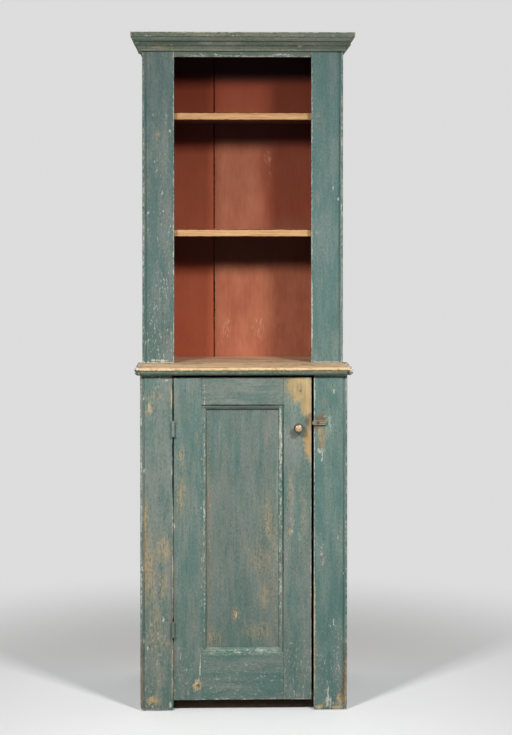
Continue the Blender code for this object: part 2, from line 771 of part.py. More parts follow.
def knob(looks, pivot):
    """A turned knob: spigot, base, hollow neck and crowned head."""
    spigot, base = SPIGOT_DIAMETER / 2, KNOB_BASE_DIAMETER / 2
    neck, head = KNOB_NECK_DIAMETER / 2, KNOB_DIAMETER / 2
    spigot_end = SPIGOT_SHY - DOOR_THICK
    waist = KNOB_BASE + KNOB_NECK
    widest = KNOB_PROJECTION - KNOB_CROWN
    profile = [(0.0, spigot_end), (spigot, spigot_end), (spigot, FIT)]
    profile += arc((base, FIT), (base, KNOB_BASE), -KNOB_BASE_BULGE)
    profile += arc((base, KNOB_BASE), (neck, waist), KNOB_NECK_HOLLOW)[1:]
    profile += arc((neck, waist), (head, widest), -KNOB_UNDER_BULGE)[1:]
    profile += quarter((head, widest), (0.0, KNOB_PROJECTION), (0.0, widest))[1:]
    shape = facing_front(turned(profile), (KNOB_X, DOOR_FACE, KNOB_Z))
    seat(mesh_object("door_knob", shape), looks["turned_wood"], parent=pivot, smooth_angle=CREASE)


def hinge_leaf(name, side, middle, order):
    """One leaf with its knuckles: side is LEFT on the case and RIGHT on the door."""
    low = middle - HINGE_HEIGHT / 2
    pitch = (HINGE_HEIGHT + FIT) / KNUCKLES
    inner = HINGE_X + side * LEAF_GAP / 2
    outer = inner + side * LEAF_THICK
    plate = block(bmesh.new(), (inner, FACE_Y, low), (outer, FACE_Y + LEAF_WIDTH, low + HINGE_HEIGHT))
    leaf = mesh_object(name, plate)
    for place in range(order, KNUCKLES, 2):
        start = low + place * pitch
        end = start + pitch - FIT
        barrel = standing(rod(BARREL_RADIUS, start, end), HINGE_X, HINGE_Y)
        knuckle = mesh_object("knuckle", barrel)
        join(knuckle, block(bmesh.new(), (inner, HINGE_Y, start), (outer, FACE_Y + CUT, end)))
        rolled = bmesh.new()
        rolled.from_mesh(knuckle.data)
        bpy.data.objects.remove(knuckle)
        join(leaf, rolled)
    bore = rod(PIN_DIAMETER / 2 + PIN_CLEARANCE, low - CUT, low + HINGE_HEIGHT + CUT)
    cut(leaf, standing(bore, HINGE_X, HINGE_Y))
    return leaf


def hinge(label, middle, looks, pivot):
    """A butt hinge: a leaf on the case, a leaf on the door, and the pin that joins them."""
    iron = looks["iron"]
    case_leaf = hinge_leaf(f"{label}_hinge_frame_leaf", LEFT, middle, 0)
    seat(case_leaf, iron, smooth_angle=CREASE)
    door_leaf = hinge_leaf(f"{label}_hinge_door_leaf", RIGHT, middle, 1)
    seat(door_leaf, iron, parent=pivot, smooth_angle=CREASE)
    radius = PIN_DIAMETER / 2
    head = radius + PIN_HEAD
    low, high = middle - HINGE_HEIGHT / 2 - FIT, middle + HINGE_HEIGHT / 2 + FIT
    profile = [(0.0, low - PIN_HEAD), (radius, low - PIN_HEAD), (radius, high), (head, high)]
    profile += quarter((head, high), (0.0, high + PIN_HEAD), (0.0, high))[1:]
    pin = standing(turned(profile, PIN_STEPS), HINGE_X, HINGE_Y)
    seat(mesh_object(f"{label}_hinge_pin", pin), iron, smooth_angle=CREASE)


def button_outline(inset):
    """The button's bar in X and Z about its pivot, with two round ends."""
    radius = BUTTON_HEIGHT / 2 - inset
    right, left = BUTTON_LONG - BUTTON_HEIGHT / 2, -BUTTON_SHORT + BUTTON_HEIGHT / 2
    points = arc((right, -radius), (right, radius), -radius, 2 * ARC_STEPS)
    points += arc((left, radius), (left, -radius), -radius, 2 * ARC_STEPS)
    return points


def turn_button(looks):
    """The wooden button: a round-ended bar that turns on a screw off its middle."""
    levels = [(0.0, BUTTON_BACK), (0.0, BUTTON_FRONT + BUTTON_CHAMFER), (BUTTON_CHAMFER, BUTTON_FRONT)]
    rings = []
    for inset, y in levels:
        rings.append([(BUTTON_X + x, y, BUTTON_Z + z) for x, z in button_outline(inset)])
    button = mesh_object("turn_button", loft(rings))
    hole = rod(SCREW_DIAMETER / 2 + SCREW_CLEARANCE, -BUTTON_THICK - CUT, CUT)
    cut(button, facing_front(hole, (BUTTON_X, BUTTON_FRONT, BUTTON_Z)))
    pivot = (BUTTON_X, BUTTON_FRONT, BUTTON_Z)
    seat(button, looks["turned_wood"], origin=pivot, smooth_angle=CREASE)
    head, shank = SCREW_HEAD_DIAMETER / 2, SCREW_DIAMETER / 2
    depth = FIT - SCREW_LENGTH
    profile = [(0.0, depth), (shank, depth + shank), (shank, FIT), (head, FIT)]
    profile += quarter((head, FIT), (0.0, FIT + SCREW_HEAD), (0.0, FIT))[1:]
    screw = facing_front(turned(profile, PIN_STEPS), pivot)
    seat(mesh_object("button_screw", screw), looks["iron"], smooth_angle=CREASE)


def main():
    clear_scene()
    looks = finishes()
    side_board("left_side", LEFT, looks)
    side_board("right_side", RIGHT, looks)
    shelf("case_bottom", BOTTOM_TOP, DOOR_STOP_Y, looks["bare_pine"])
    shelf("lower_shelf", LOWER_SHELF_TOP, DOOR_STOP_Y, looks["bare_pine"])
    shelf("middle_shelf", MIDDLE_SHELF_TOP, UPPER_SIDE_FRONT, looks["bare_pine"])
    shelf("upper_shelf", UPPER_SHELF_TOP, UPPER_SIDE_FRONT, looks["bare_pine"])
    waist_board_front(looks)
    waist_board_rear(looks)
    case_top(looks)
    back_boards(looks)
    upper_frame(looks)
    lower_frame(looks)
    cornice(looks)
    pivot = empty("door_hinge_axis", (HINGE_X, HINGE_Y, 0.0))
    door(looks, pivot)
    knob(looks, pivot)
    hinge("upper", UPPER_HINGE_Z, looks, pivot)
    hinge("lower", LOWER_HINGE_Z, looks, pivot)
    turn_button(looks)


main()
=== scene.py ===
"""Step-back cupboard: aged boards, worn paint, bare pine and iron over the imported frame.

Units are metres with +Z up. The front looks towards -Y, and every finished piece keeps its place in
its mesh, so a pattern that reads Object coordinates reads places on the cupboard. The tables of worn
places are in millimetres.
"""

import logging
import math
import random
from contextlib import contextmanager
from dataclasses import dataclass, field
from enum import Enum
from typing import Dict, Iterable, Iterator, List, Optional, Sequence, Tuple, Union

import bpy
from mathutils import Matrix, Vector


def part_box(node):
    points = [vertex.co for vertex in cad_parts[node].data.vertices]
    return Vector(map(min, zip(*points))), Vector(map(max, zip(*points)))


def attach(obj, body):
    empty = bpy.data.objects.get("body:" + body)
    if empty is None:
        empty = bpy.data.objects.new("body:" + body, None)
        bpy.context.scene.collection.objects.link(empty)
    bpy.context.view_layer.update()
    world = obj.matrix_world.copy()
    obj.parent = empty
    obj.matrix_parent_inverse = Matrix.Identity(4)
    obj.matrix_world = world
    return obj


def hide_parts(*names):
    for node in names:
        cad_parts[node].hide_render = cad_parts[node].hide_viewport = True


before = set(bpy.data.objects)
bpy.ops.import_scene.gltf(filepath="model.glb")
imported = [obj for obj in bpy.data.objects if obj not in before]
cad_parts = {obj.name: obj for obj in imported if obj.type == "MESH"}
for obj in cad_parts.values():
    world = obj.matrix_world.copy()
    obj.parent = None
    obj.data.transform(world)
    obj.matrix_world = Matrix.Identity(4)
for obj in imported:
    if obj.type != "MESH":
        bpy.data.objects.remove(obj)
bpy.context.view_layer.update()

LOG = logging.getLogger("cupboard")
PER_METRE = 1000  # millimetres, the unit of the tables of worn places
RIM_WANDER = 0.012  # how far the rim of a worn place wanders
SOFT_CORE, SOFT_RIM = 0.1, 1.2  # where a soft worn place is full and where it ends, in half sizes
HARD_LEVEL, HARD_FALL = 1.76, 1.6  # the level in the middle of a hard one, and how it falls off
NOISE_MEAN, NOISE_GAIN = 0.5, 4.0  # bring noise to a mean of 0 and a reach of about 1
PAINT_LAP = 0.0015  # how far the rear of a board is bare round its edges
GAP_LAP = 0.0006  # how far the dirt and painted shade of a gap come round an edge
SAME_POINT = 0.000005  # points closer than this are one
SAME_LEVEL = 0.00002  # faces closer than this lie in one plane
SAME_WAY = 0.99  # the cosine over which a face looks in a direction
FLAT = math.radians(0.3)  # faces that meet at less than this are one
SEAM = 0.0004  # half the width over which one finish gives way to another
SOFT_SEAM = 0.001  # the same where they meet softly
FRONT = Vector((0.0, -1.0, 0.0))
UP = Vector((0.0, 0.0, 1.0))

Colour = Tuple[float, float, float, float]
Box = Tuple[Vector, Vector]
Piece = bpy.types.Object
Socket = bpy.types.NodeSocket
Material = bpy.types.Material
Input = Union["Signal", float, Sequence[float], Socket]
Feeds = Dict[Union[int, str], Input]


def tone(red: int, green: int, blue: int) -> Colour:
    """Turns a colour as seen on a screen into light.

    Args:
        red: Red from 0 to 255.
        green: Green from 0 to 255.
        blue: Blue from 0 to 255.

    Returns:
        The colour in linear light, with full alpha.
    """
    shares = [channel / 255 for channel in (red, green, blue)]
    light = [share / 12.92 if share <= 0.04045 else ((share + 0.055) / 1.055) ** 2.4 for share in shares]
    return (*light, 1.0)


class Grain(Enum):
    """The axis that a board's fibres follow."""

    ALONG = 0
    DEEP = 1
    UPRIGHT = 2

    @classmethod
    def of(cls, box: Box) -> "Grain":
        """The axis along which a board is longest."""
        sides = [high - low for low, high in zip(*box)]
        return cls(sides.index(max(sides)))


class Coat(Enum):
    """What shows at a worn place, in the order in which the coats lie."""

    # This coat also lays painted light: on the door moulding's shaded right step, along its bottom
    # moulding and along the stiles' beads
    BLEACHED_AND_LIT = "pale"
    STAIN = "stain"
    WOOD = "wood"
    # This coat also lays a painted highlight along the cornice's top edge and members
    GROUND_AND_HIGHLIGHT = "ground"
    GRIME = "grime"
    RUST = "rust"
    # This coat also lays painted shade: in quirks, gaps, the back's seam, between the cornice's members
    # and under the door's top rail
    DIRT_AND_SHADE = "dirt"


class Signal:
    """A value on a link, with arithmetic that adds Math nodes."""

    def __init__(self, shade: "Wiring", socket: Socket) -> None:
        """Keeps the socket and the tree that it belongs to."""
        self.shade = shade
        self.socket = socket

    def __add__(self, other: Input) -> "Signal":
        """Adds a value."""
        return self.shade.math("ADD", self, other)

    def __sub__(self, other: Input) -> "Signal":
        """Takes a value away."""
        return self.shade.math("SUBTRACT", self, other)

    def __rsub__(self, other: Input) -> "Signal":
        """Takes this away from a value."""
        return self.shade.math("SUBTRACT", other, self)

    def __mul__(self, other: Input) -> "Signal":
        """Multiplies by a value."""
        return self.shade.math("MULTIPLY", self, other)

    __radd__ = __add__
    __rmul__ = __mul__

    def least(self, other: Input) -> "Signal":
        """The smaller of this and a value."""
        return self.shade.math("MINIMUM", self, other)

    def most(self, other: Input) -> "Signal":
        """The larger of this and a value."""
        return self.shade.math("MAXIMUM", self, other)

    def size(self) -> "Signal":
        """The value without its sign."""
        return self.shade.math("ABSOLUTE", self)

    def ease(self, low: float, high: float) -> "Signal":
        """Rises smoothly from 0 at low to 1 at high, or falls where low is the larger.

        Args:
            low: The value at which it starts.
            high: The value at which it is full.

        Returns:
            The eased value.
        """
        feeds = {"Value": self, "From Min": low, "From Max": high}
        node = self.shade.add("ShaderNodeMapRange", feeds, interpolation_type="SMOOTHSTEP")
        return Signal(self.shade, node.outputs["Result"])


class Wiring:
    """Adds and links the nodes of one tree."""

    def __init__(self, tree: bpy.types.NodeTree) -> None:
        """Keeps the tree's nodes and links."""
        self.nodes = tree.nodes
        self.links = tree.links

    def add(self, kind: str, feeds: Optional[Feeds] = None, **settings: object) -> bpy.types.Node:
        """Adds a node.

        Args:
            kind: Its type.
            feeds: What goes into its sockets.
            settings: Its settings.

        Returns:
            The node.
        """
        node = self.nodes.new(kind)
        for name, value in settings.items():
            setattr(node, name, value)
        self.wire(node, feeds or {})
        return node

    def wire(self, node: bpy.types.Node, feeds: Feeds) -> None:
        """Links signals to a node's sockets, and sets the others to constants.

        Args:
            node: The node.
            feeds: What goes into its sockets.
        """
        for name, value in feeds.items():
            if isinstance(value, (Signal, Socket)):
                self.links.new(value.socket if isinstance(value, Signal) else value, node.inputs[name])
            else:
                node.inputs[name].default_value = value

    def math(self, operation: str, *values: Input) -> Signal:
        """Adds one Math node with one, two or three inputs."""
        node = self.add("ShaderNodeMath", dict(enumerate(values)), operation=operation)
        return Signal(self, node.outputs[0])

    def parts(self, place: Socket) -> List[Signal]:
        """The three parts of a place."""
        return [Signal(self, output) for output in self.add("ShaderNodeSeparateXYZ", {0: place}).outputs]

    def seen(self) -> Signal:
        """A factor that is 1 where the camera, a mirror or a glass looks.

        Returns:
            The factor, 0 for every other ray.
        """
        path = self.add("ShaderNodeLightPath").outputs
        bent = Signal(self, path["Is Glossy Ray"]).most(path["Is Transmission Ray"])
        return bent.most(path["Is Camera Ray"])

    def blend(self, share: Signal, first: bpy.types.Node, second: bpy.types.Node, output: str) -> None:
        """Mixes two shaders into the tree's output."""
        mixed = self.add("ShaderNodeMixShader", {0: share, 1: first.outputs[0], 2: second.outputs[0]})
        self.wire(self.nodes[output], {"Surface": mixed.outputs[0]})


class Shade(Wiring):
    """Wires the nodes of one material."""

    def __init__(self, name: str) -> None:
        """Starts a material and reads Object coordinates.

        Args:
            name: The material's name.
        """
        self.material = bpy.data.materials.new(name)
        self.material.use_nodes = True
        super().__init__(self.material.node_tree)
        self.shader = self.nodes["Principled BSDF"]
        self.place = self.add("ShaderNodeTexCoord").outputs["Object"]
        self.axes = self.parts(self.place)
        self.rim: Optional[Socket] = None

    def spread(self, place: Input, stretch: Sequence[float], shift: Input) -> Socket:
        """Stretches a place and shifts it."""
        feeds = {0: place, 1: stretch, 2: shift}
        return self.add("ShaderNodeVectorMath", feeds, operation="MULTIPLY_ADD").outputs[0]

    def noise(self, cell: Sequence[float], seed: float, detail: float = 2.0) -> Signal:
        """Signed noise, mostly from -1 to 1.

        Args:
            cell: The pattern's size along X, Y and Z.
            seed: A shift that makes the pattern its own.
            detail: How many finer layers it has.

        Returns:
            The noise, with a mean of 0.
        """
        place = self.spread(self.place, [1 / length for length in cell], (seed, 1.7 * seed, 2.3 * seed))
        node = self.add("ShaderNodeTexNoise", {"Vector": place, "Scale": 1.0, "Detail": detail})
        return (Signal(self, node.outputs["Fac"]) - NOISE_MEAN) * NOISE_GAIN

    def ragged(self) -> Socket:
        """A wandering offset that makes the rims of worn places uneven.

        Returns:
            The offset, the same for the whole material.
        """
        if self.rim is None:
            feeds = {"Vector": self.place, "Scale": 70.0, "Detail": 4.0, "Roughness": 0.65}
            node = self.add("ShaderNodeTexNoise", feeds)
            self.rim = self.spread(node.outputs["Color"], (2.6, 0.0, 2.6), (-1.3, 0.0, -1.3))
        return self.rim

    def streaks(
        self, grain: Grain, width: float, length: float, seed: float, detail: float = 2.0
    ) -> Signal:
        """Signed noise drawn out along the grain.

        Args:
            grain: The axis of the fibres.
            width: The pattern's size across the grain.
            length: Its size along the grain.
            seed: A shift that makes the pattern its own.
            detail: How many finer layers it has.

        Returns:
            The noise, with a mean of 0.
        """
        cell = [width] * 3
        cell[grain.value] = length
        return self.noise(cell, seed, detail)

    def mix(self, share: Input, first: Input, second: Input) -> Socket:
        """Mixes two colours, from the first at a share of 0 to the second at 1."""
        feeds = {0: share, 6: first, 7: second}
        return self.add("ShaderNodeMix", feeds, data_type="RGBA", clamp_factor=True).outputs[2]

    def lit(self, colour: Input, level: Input) -> Socket:
        """Multiplies a colour by a level."""
        feeds = {0: colour[:3] if isinstance(colour, tuple) else colour, "Scale": level}
        return self.add("ShaderNodeVectorMath", feeds, operation="SCALE").outputs[0]

    def finish(self, colour: Input, rough: Input, height: Signal, gloss: float) -> Material:
        """Feeds the shader.

        Args:
            colour: The surface's colour.
            rough: Its roughness.
            height: Its relief, in metres.
            gloss: The shader's specular level.

        Returns:
            The finished material.
        """
        bump = self.add("ShaderNodeBump", {"Distance": 1.0, "Height": height})
        feeds = {"Normal": bump.outputs[0], "Base Color": colour, "Roughness": rough}
        self.wire(self.shader, {**feeds, "Specular IOR Level": gloss})
        return self.material

    def arris(self, box: Box) -> Signal:
        """How far a point on a board is from the nearest long edge of its box.

        Args:
            box: The board's lowest and highest corners.

        Returns:
            The middle one of the distances to the board's three pairs of faces.
        """
        first, second, third = [
            (axis - low).least(high - axis) for axis, low, high in zip(self.axes, *box)
        ]
        return first.least(second).most(first.most(second).least(third))


@dataclass(frozen=True)
class Rub:
    """One worn place on a front face.

    Attributes:
        x: Its middle across the front.
        z: Its middle height.
        wide: Half its width.
        high: Half its height.
        share: How much of the paint is gone there, from 0 to 1, or more where all of it is.
        coat: What shows there.
    """

    x: float
    z: float
    wide: float
    high: float
    share: float
    coat: Coat = Coat.WOOD

    def depth(self, shade: Shade) -> Signal:
        """How worn a point is: level inside the place and falling off at its uneven rim.

        Args:
            shade: The material that is being wired.

        Returns:
            The depth of the wear, about 0 to 1.
        """
        stretch = (1 / self.wide, 0.0, 1 / self.high)
        offset = shade.spread(shade.place, stretch, (-self.x / self.wide, 0.0, -self.z / self.high))
        reach_x, reach_z = (min(1.0, RIM_WANDER / half) for half in (self.wide, self.high))
        uneven = shade.spread(shade.ragged(), (reach_x, 0.0, reach_z), offset)
        length = shade.add("ShaderNodeVectorMath", {0: uneven}, operation="LENGTH")
        reach = Signal(shade, length.outputs["Value"])
        if self.coat in (Coat.BLEACHED_AND_LIT, Coat.STAIN, Coat.GRIME, Coat.RUST):
            return reach.ease(SOFT_RIM, SOFT_CORE) * self.share
        level = shade.math("MULTIPLY_ADD", reach, -HARD_FALL, HARD_LEVEL)
        return level.least(0.15 + 0.85 * self.share)

    def touches(self, box: Box) -> bool:
        """Whether the place reaches a board.

        Args:
            box: The board's lowest and highest corners.

        Returns:
            True where it does.
        """
        low, high = box
        inside_x = low.x - self.wide < self.x < high.x + self.wide
        return inside_x and low.z - self.high < self.z < high.z + self.high


def worn(coat: Coat, *rows: Sequence[float]) -> List[Rub]:
    """Worn places that show one coat.

    Args:
        coat: What shows there.
        rows: The middle and half the size of each place in millimetres, and its share.

    Returns:
        The places.
    """
    return [Rub(*(size / PER_METRE for size in row[:4]), row[4], coat) for row in rows]


@dataclass(frozen=True)
class Pine:
    """Bare softwood.

    Attributes:
        pale: The early wood.
        ripe: The late wood and its lines.
        dull: Handled and dirty wood.
        dirt: How much of the dull tone shows.
    """

    pale: Colour = tone(214, 181, 134)
    ripe: Colour = tone(178, 133, 84)
    dull: Colour = tone(140, 112, 86)
    dirt: float = 0.35

    def layer(self, shade: Shade, grain: Grain, seed: float) -> Tuple[Socket, Signal]:
        """The wood's colour and relief.

        Args:
            shade: The material that is being wired.
            grain: The axis of the fibres.
            seed: A shift that makes the pattern its own.

        Returns:
            The colour, and the relief from -1 to 1.
        """
        rings = shade.streaks(grain, 0.013, 0.55, seed, 1.0)
        pores = shade.streaks(grain, 0.0018, 0.06, seed + 3.1, 1.0)
        stain = shade.streaks(grain, 0.06, 0.30, seed + 5.3, 4.0)
        lines = shade.math("SINE", rings * 9.0)
        share = (lines * 0.25 + pores * 0.35 + 0.45).ease(0.0, 1.0)
        colour = shade.mix(share, self.pale, self.ripe)
        dirty = (stain + pores * 0.4 + (2.0 * self.dirt - 1.0)).ease(-0.5, 1.2)
        return shade.mix(dirty * (0.4 + self.dirt), colour, self.dull), pores * 0.7 + lines * 0.3

    def material(self, name: str, grain: Grain, seed: float) -> Material:
        """A material of this wood alone.

        Args:
            name: The material's name.
            grain: The axis of the fibres.
            seed: A shift that makes the pattern its own.

        Returns:
            The finished material.
        """
        shade = Shade(name)
        colour, relief = self.layer(shade, grain, seed)
        return shade.finish(colour, 0.72, relief * 0.00005, 0.2)


@dataclass(frozen=True)
class Inside:
    """The faces of a board that don't have its outer paint.

    Attributes:
        axis: The axis that tells them apart.
        at: Where they start.
        above: Whether they lie above that place or below it.
        red_from: The height over which they are washed red, or None where they are bare.
        soot_and_shade: Whether they are dark with the dirt of a narrow gap and with painted shade in it.
    """

    axis: int
    at: float
    above: bool = True
    red_from: Optional[float] = None
    soot_and_shade: bool = False


@dataclass(frozen=True)
class RedWash:
    """The thin red paint of the shelves' back, with painted shade: darker towards the top and in bands
    under the shelves and the top.

    Attributes:
        deep: The wash where it is thick.
        pale: The wash where it is thin.
        scuff: Where something has rubbed it.
        soot_and_seam_shade: Dark spots, and the painted shade along the seam between the boards.
        shaded_red: A darker, redder wash near the top and on the right: painted shade where the top and
            the right stile shade the back.
        streak: How strongly the grain shows in it.
        foot: The height under which it has no painted shade.
        head: The height over which its painted shade is darkest.
        dim: How much of its light is left there.
        shelf_shadow_tone: The painted shadow under the shelves and the top.
        shadow_bands: The heights of the shelves and the top that the painted shadows hang under, how far
            down they reach, and how dark they are.
    """

    deep: Colour = tone(146, 72, 48)
    pale: Colour = tone(176, 100, 74)
    scuff: Colour = tone(204, 150, 120)
    soot_and_seam_shade: Colour = tone(52, 28, 22)
    shaded_red: Colour = tone(168, 76, 52)
    streak: float = 0.5
    foot: float = 1.10
    head: float = 1.88
    dim: float = 0.72
    shelf_shadow_tone: Colour = tone(72, 58, 62)
    shadow_bands: Tuple[Tuple[float, float, float], ...] = (
        (1.338, 0.088, 0.74),
        (1.679, 0.056, 0.60),
        (1.880, 0.064, 0.92),
    )

    def layer(
        self, shade: Shade, seed: float, rubs: Iterable[Rub] = ()
    ) -> Tuple[Socket, Signal]:
        """The wash's colour and relief.

        Args:
            shade: The material that is being wired.
            seed: A shift that makes the pattern its own.
            rubs: The scuffed and the sooty places.

        Returns:
            The colour, and the relief from -1 to 1.
        """
        fine = shade.streaks(Grain.UPRIGHT, 0.006, 0.05, seed)
        cloud = shade.streaks(Grain.UPRIGHT, 0.060, 0.11, seed + 2.2, 4.0)
        share = (fine * (0.16 * self.streak) + cloud * (0.42 * self.streak) + 0.5).ease(0.0, 1.0)
        colour = shade.mix(share, self.deep, self.pale)
        up = shade.axes[2]
        # Painted shade: a darker, redder wash near the top and on the right
        right = shade.axes[0].ease(0.03, 0.10) * up.ease(1.30, 1.42)
        colour = shade.mix((up.ease(1.52, 1.80) * 0.75).most(right * 0.55), colour, self.shaded_red)
        marks = shade.streaks(Grain.UPRIGHT, 0.0035, 0.012, seed + 4.4)
        scratch = shade.streaks(Grain.UPRIGHT, 0.0034, 0.034, seed + 8.8)
        rubbed = (marks + cloud * 0.6).ease(0.9, 1.7) * (0.5 * self.streak)
        rubbed = rubbed.most((scratch + up.ease(1.22, 1.02) * 0.45).ease(1.0, 1.5) * (0.7 * self.streak))
        spots = shade.noise((0.010, 0.010, 0.014), seed + 6.6)
        soot_and_shade = (spots - cloud * 0.4).ease(1.1, 1.7) * 0.5
        # The dark places join the soot; on the back they paint the shade along the boards' seam
        for rub in rubs:
            mask = (rub.depth(shade) + marks * 0.45 + cloud * 0.2).ease(0.35, 1.15)
            if rub.coat is Coat.DIRT_AND_SHADE:
                soot_and_shade = soot_and_shade.most(mask)
            else:
                rubbed = rubbed.most(mask)
        colour = shade.mix(rubbed, colour, self.scuff)
        colour = shade.mix(soot_and_shade, colour, self.soot_and_seam_shade)
        # Painted shadows: dark bands under the shelves and the top
        for under, depth, shadow_share in self.shadow_bands:
            in_shadow = up.ease(under - depth - 0.022, under - depth + 0.022) * up.ease(under + 0.012, under)
            colour = shade.mix(in_shadow * shadow_share, colour, self.shelf_shadow_tone)
        # Painted shade: the wash darkens towards the top
        level = 1.0 - up.ease(self.foot, self.head) * (1.0 - self.dim)
        return shade.lit(colour, level), fine * 0.6 + marks * 0.4


class Weave:
    """The noises that the patterns of one painted board share.

    Attributes:
        fleck: Fine flecks.
        thread: Brush streaks.
        dash: Short dashes.
        hue: Small patches.
        mottle: Large patches of the first kind.
        drift: Large patches of the second kind.
    """

    def __init__(self, shade: Shade, grain: Grain, seed: float) -> None:
        """Adds the noises to a material.

        Args:
            shade: The material that is being wired.
            grain: The axis of the fibres.
            seed: A shift that makes the pattern its own.
        """
        self.fleck = shade.streaks(grain, 0.0038, 0.0075, seed)
        self.thread = shade.streaks(grain, 0.0042, 0.055, seed + 1.3)
        self.dash = shade.streaks(grain, 0.006, 0.020, seed + 8.2)
        self.hue = shade.streaks(grain, 0.014, 0.060, seed + 5.2, 3.0)
        self.mottle = shade.streaks(grain, 0.034, 0.120, seed + 2.6, 4.0)
        self.drift = shade.streaks(grain, 0.030, 0.170, seed + 3.9, 4.0)


@dataclass(frozen=True)
class WornPaint:
    """Old paint over a pale ground and pine, thin along the grain and gone from the edges.

    Attributes:
        cool: The paint where it is whole.
        grey: The paint where it has faded.
        blue: The paint where it leans to blue.
        rosy: The paint where an older coat tints it.
        warm: The paint where the wood tints it.
        pale: The paint where rubbing has bleached it, which also serves as painted light on shaded steps,
            mouldings and beads.
        stain: The wood's tone, seen through thin paint.
        ground: The pale coat under it, which also serves as a painted highlight along the cornice's
            members.
        grime: Paint and wood that hands have darkened.
        rust: What has run from the iron, and old varnish.
        dirt: The dirt of pits, quirks and gaps, which also serves as painted shade in the quirks and
            gaps.
        wood: The board under it.
        raw: The board's faces without paint.
        fade: How faded it is, about -1 to 1.
        edge: How wide the bare edges are.
        bare: How much of the edges to the left and to the right is bare, about -1 to 1.
        thin: How much of the face is thin, about -1 to 1.
        chips: How many specks are out of it, about -1 to 1.
    """

    cool: Colour = tone(92, 119, 112)
    grey: Colour = tone(122, 131, 122)
    blue: Colour = tone(101, 121, 124)
    rosy: Colour = tone(133, 128, 121)
    warm: Colour = tone(154, 146, 118)
    pale: Colour = tone(150, 168, 150)
    stain: Colour = tone(172, 150, 114)
    ground: Colour = tone(196, 198, 186)
    grime: Colour = tone(112, 94, 74)
    rust: Colour = tone(176, 144, 100)
    dirt: Colour = tone(52, 54, 46)
    wood: Pine = Pine(tone(206, 182, 138), tone(184, 156, 112), tone(152, 146, 116), 0.35)
    raw: Pine = Pine(tone(192, 160, 120), tone(162, 126, 88), tone(130, 106, 82), 0.35)
    fade: float = 0.0
    edge: float = 0.0030
    bare: Tuple[float, float] = (0.0, 0.0)
    thin: float = 0.0
    chips: float = 0.0

    def material(
        self, node: str, seed: float, rubs: Iterable[Rub] = (), insides: Iterable[Inside] = ()
    ) -> Material:
        """Wires the paint for one board.

        Args:
            node: The board's node.
            seed: A shift that makes the pattern its own.
            rubs: The worn places on the front.
            insides: The faces without this paint.

        Returns:
            The finished material.
        """
        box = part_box(node)
        grain = Grain.of(box)
        shade = Shade(f"{node}_paint")
        weave = Weave(shade, grain, seed)
        colour = self.film(shade, weave)
        timber, pores = self.wood.layer(shade, grain, seed + 7.0)

        rubbed = self.bare_edge(shade, box) + weave.fleck * 0.6 + weave.dash * 0.6 + weave.mottle * 0.4
        small = shade.streaks(grain, 0.0044, 0.0070, seed + 9.1)
        specks = (small + weave.mottle * 0.6 + self.chips).ease(0.95, 1.35)
        gone = {
            Coat.WOOD: (rubbed + weave.drift * 0.5).ease(-0.2, 0.5) * 0.9,
            Coat.GROUND_AND_HIGHLIGHT: (rubbed.ease(-0.8, 0.0) * 0.85).most(specks * 0.6),
        }
        tones = {
            Coat.BLEACHED_AND_LIT: self.pale,
            Coat.STAIN: shade.lit(self.stain, weave.fleck * 0.08 + weave.hue * 0.10 + 1.0),
            Coat.WOOD: timber,
            Coat.GROUND_AND_HIGHLIGHT: shade.lit(self.ground, weave.fleck * 0.12 + weave.dash * 0.06 + 1.0),
            Coat.GRIME: shade.lit(self.grime, weave.fleck * 0.20 + weave.hue * 0.25 + 1.0),
            Coat.RUST: shade.lit(self.rust, weave.fleck * 0.14 + weave.hue * 0.16 + 1.0),
            Coat.DIRT_AND_SHADE: self.dirt,
        }
        near = [rub for rub in rubs if rub.touches(box)]
        for coat, tint in tones.items():
            places = [rub.depth(shade) for rub in near if rub.coat is coat]
            if places:
                deepest = places[0]
                for place in places[1:]:
                    deepest = deepest.most(place)
                mask = self.rubbed(coat, deepest, weave)
                gone[coat] = mask.most(gone[coat]) if coat in gone else mask
            if coat in gone:
                colour = shade.mix(gone[coat], colour, tint)
        bare, _ = self.raw.layer(shade, grain, seed + 13.0)
        for inside in insides:
            colour = self.lined(shade, colour, bare, inside, seed)
        lost = gone[Coat.GROUND_AND_HIGHLIGHT].most(gone[Coat.WOOD])
        height = lost * -0.00012 + weave.fleck * 0.00002 + weave.thread * 0.00005 + pores * 0.00002
        return shade.finish(colour, lost * 0.10 + weave.fleck * 0.05 + 0.62, height, 0.2)

    @staticmethod
    def rubbed(coat: Coat, deepest: Signal, weave: Weave) -> Signal:
        """How much of one coat shows at the worn places.

        Args:
            coat: What shows there.
            deepest: How worn a point is.
            weave: The board's noises.

        Returns:
            The coat's share, from 0 to 1.
        """
        broken = weave.fleck * 0.15 + weave.thread * 0.08 + weave.mottle * 0.25
        if coat in (Coat.BLEACHED_AND_LIT, Coat.STAIN):
            patchy = weave.thread * 0.25 + weave.dash * 0.25 + weave.fleck * 0.45 + broken * 0.4
            return deepest * (patchy + 0.42)
        if coat in (Coat.GRIME, Coat.RUST):
            return deepest * (weave.fleck * 0.30 + weave.dash * 0.30 + weave.hue * 0.35 + 0.80)
        if coat is Coat.GROUND_AND_HIGHLIGHT:
            return (deepest + weave.dash * 0.40 + weave.fleck * 0.35).ease(0.40, 1.05) * 0.9
        if coat is Coat.DIRT_AND_SHADE:
            return (deepest + broken * 0.5).ease(0.2, 0.9) * 0.85
        return (deepest + broken).ease(0.30, 1.0)

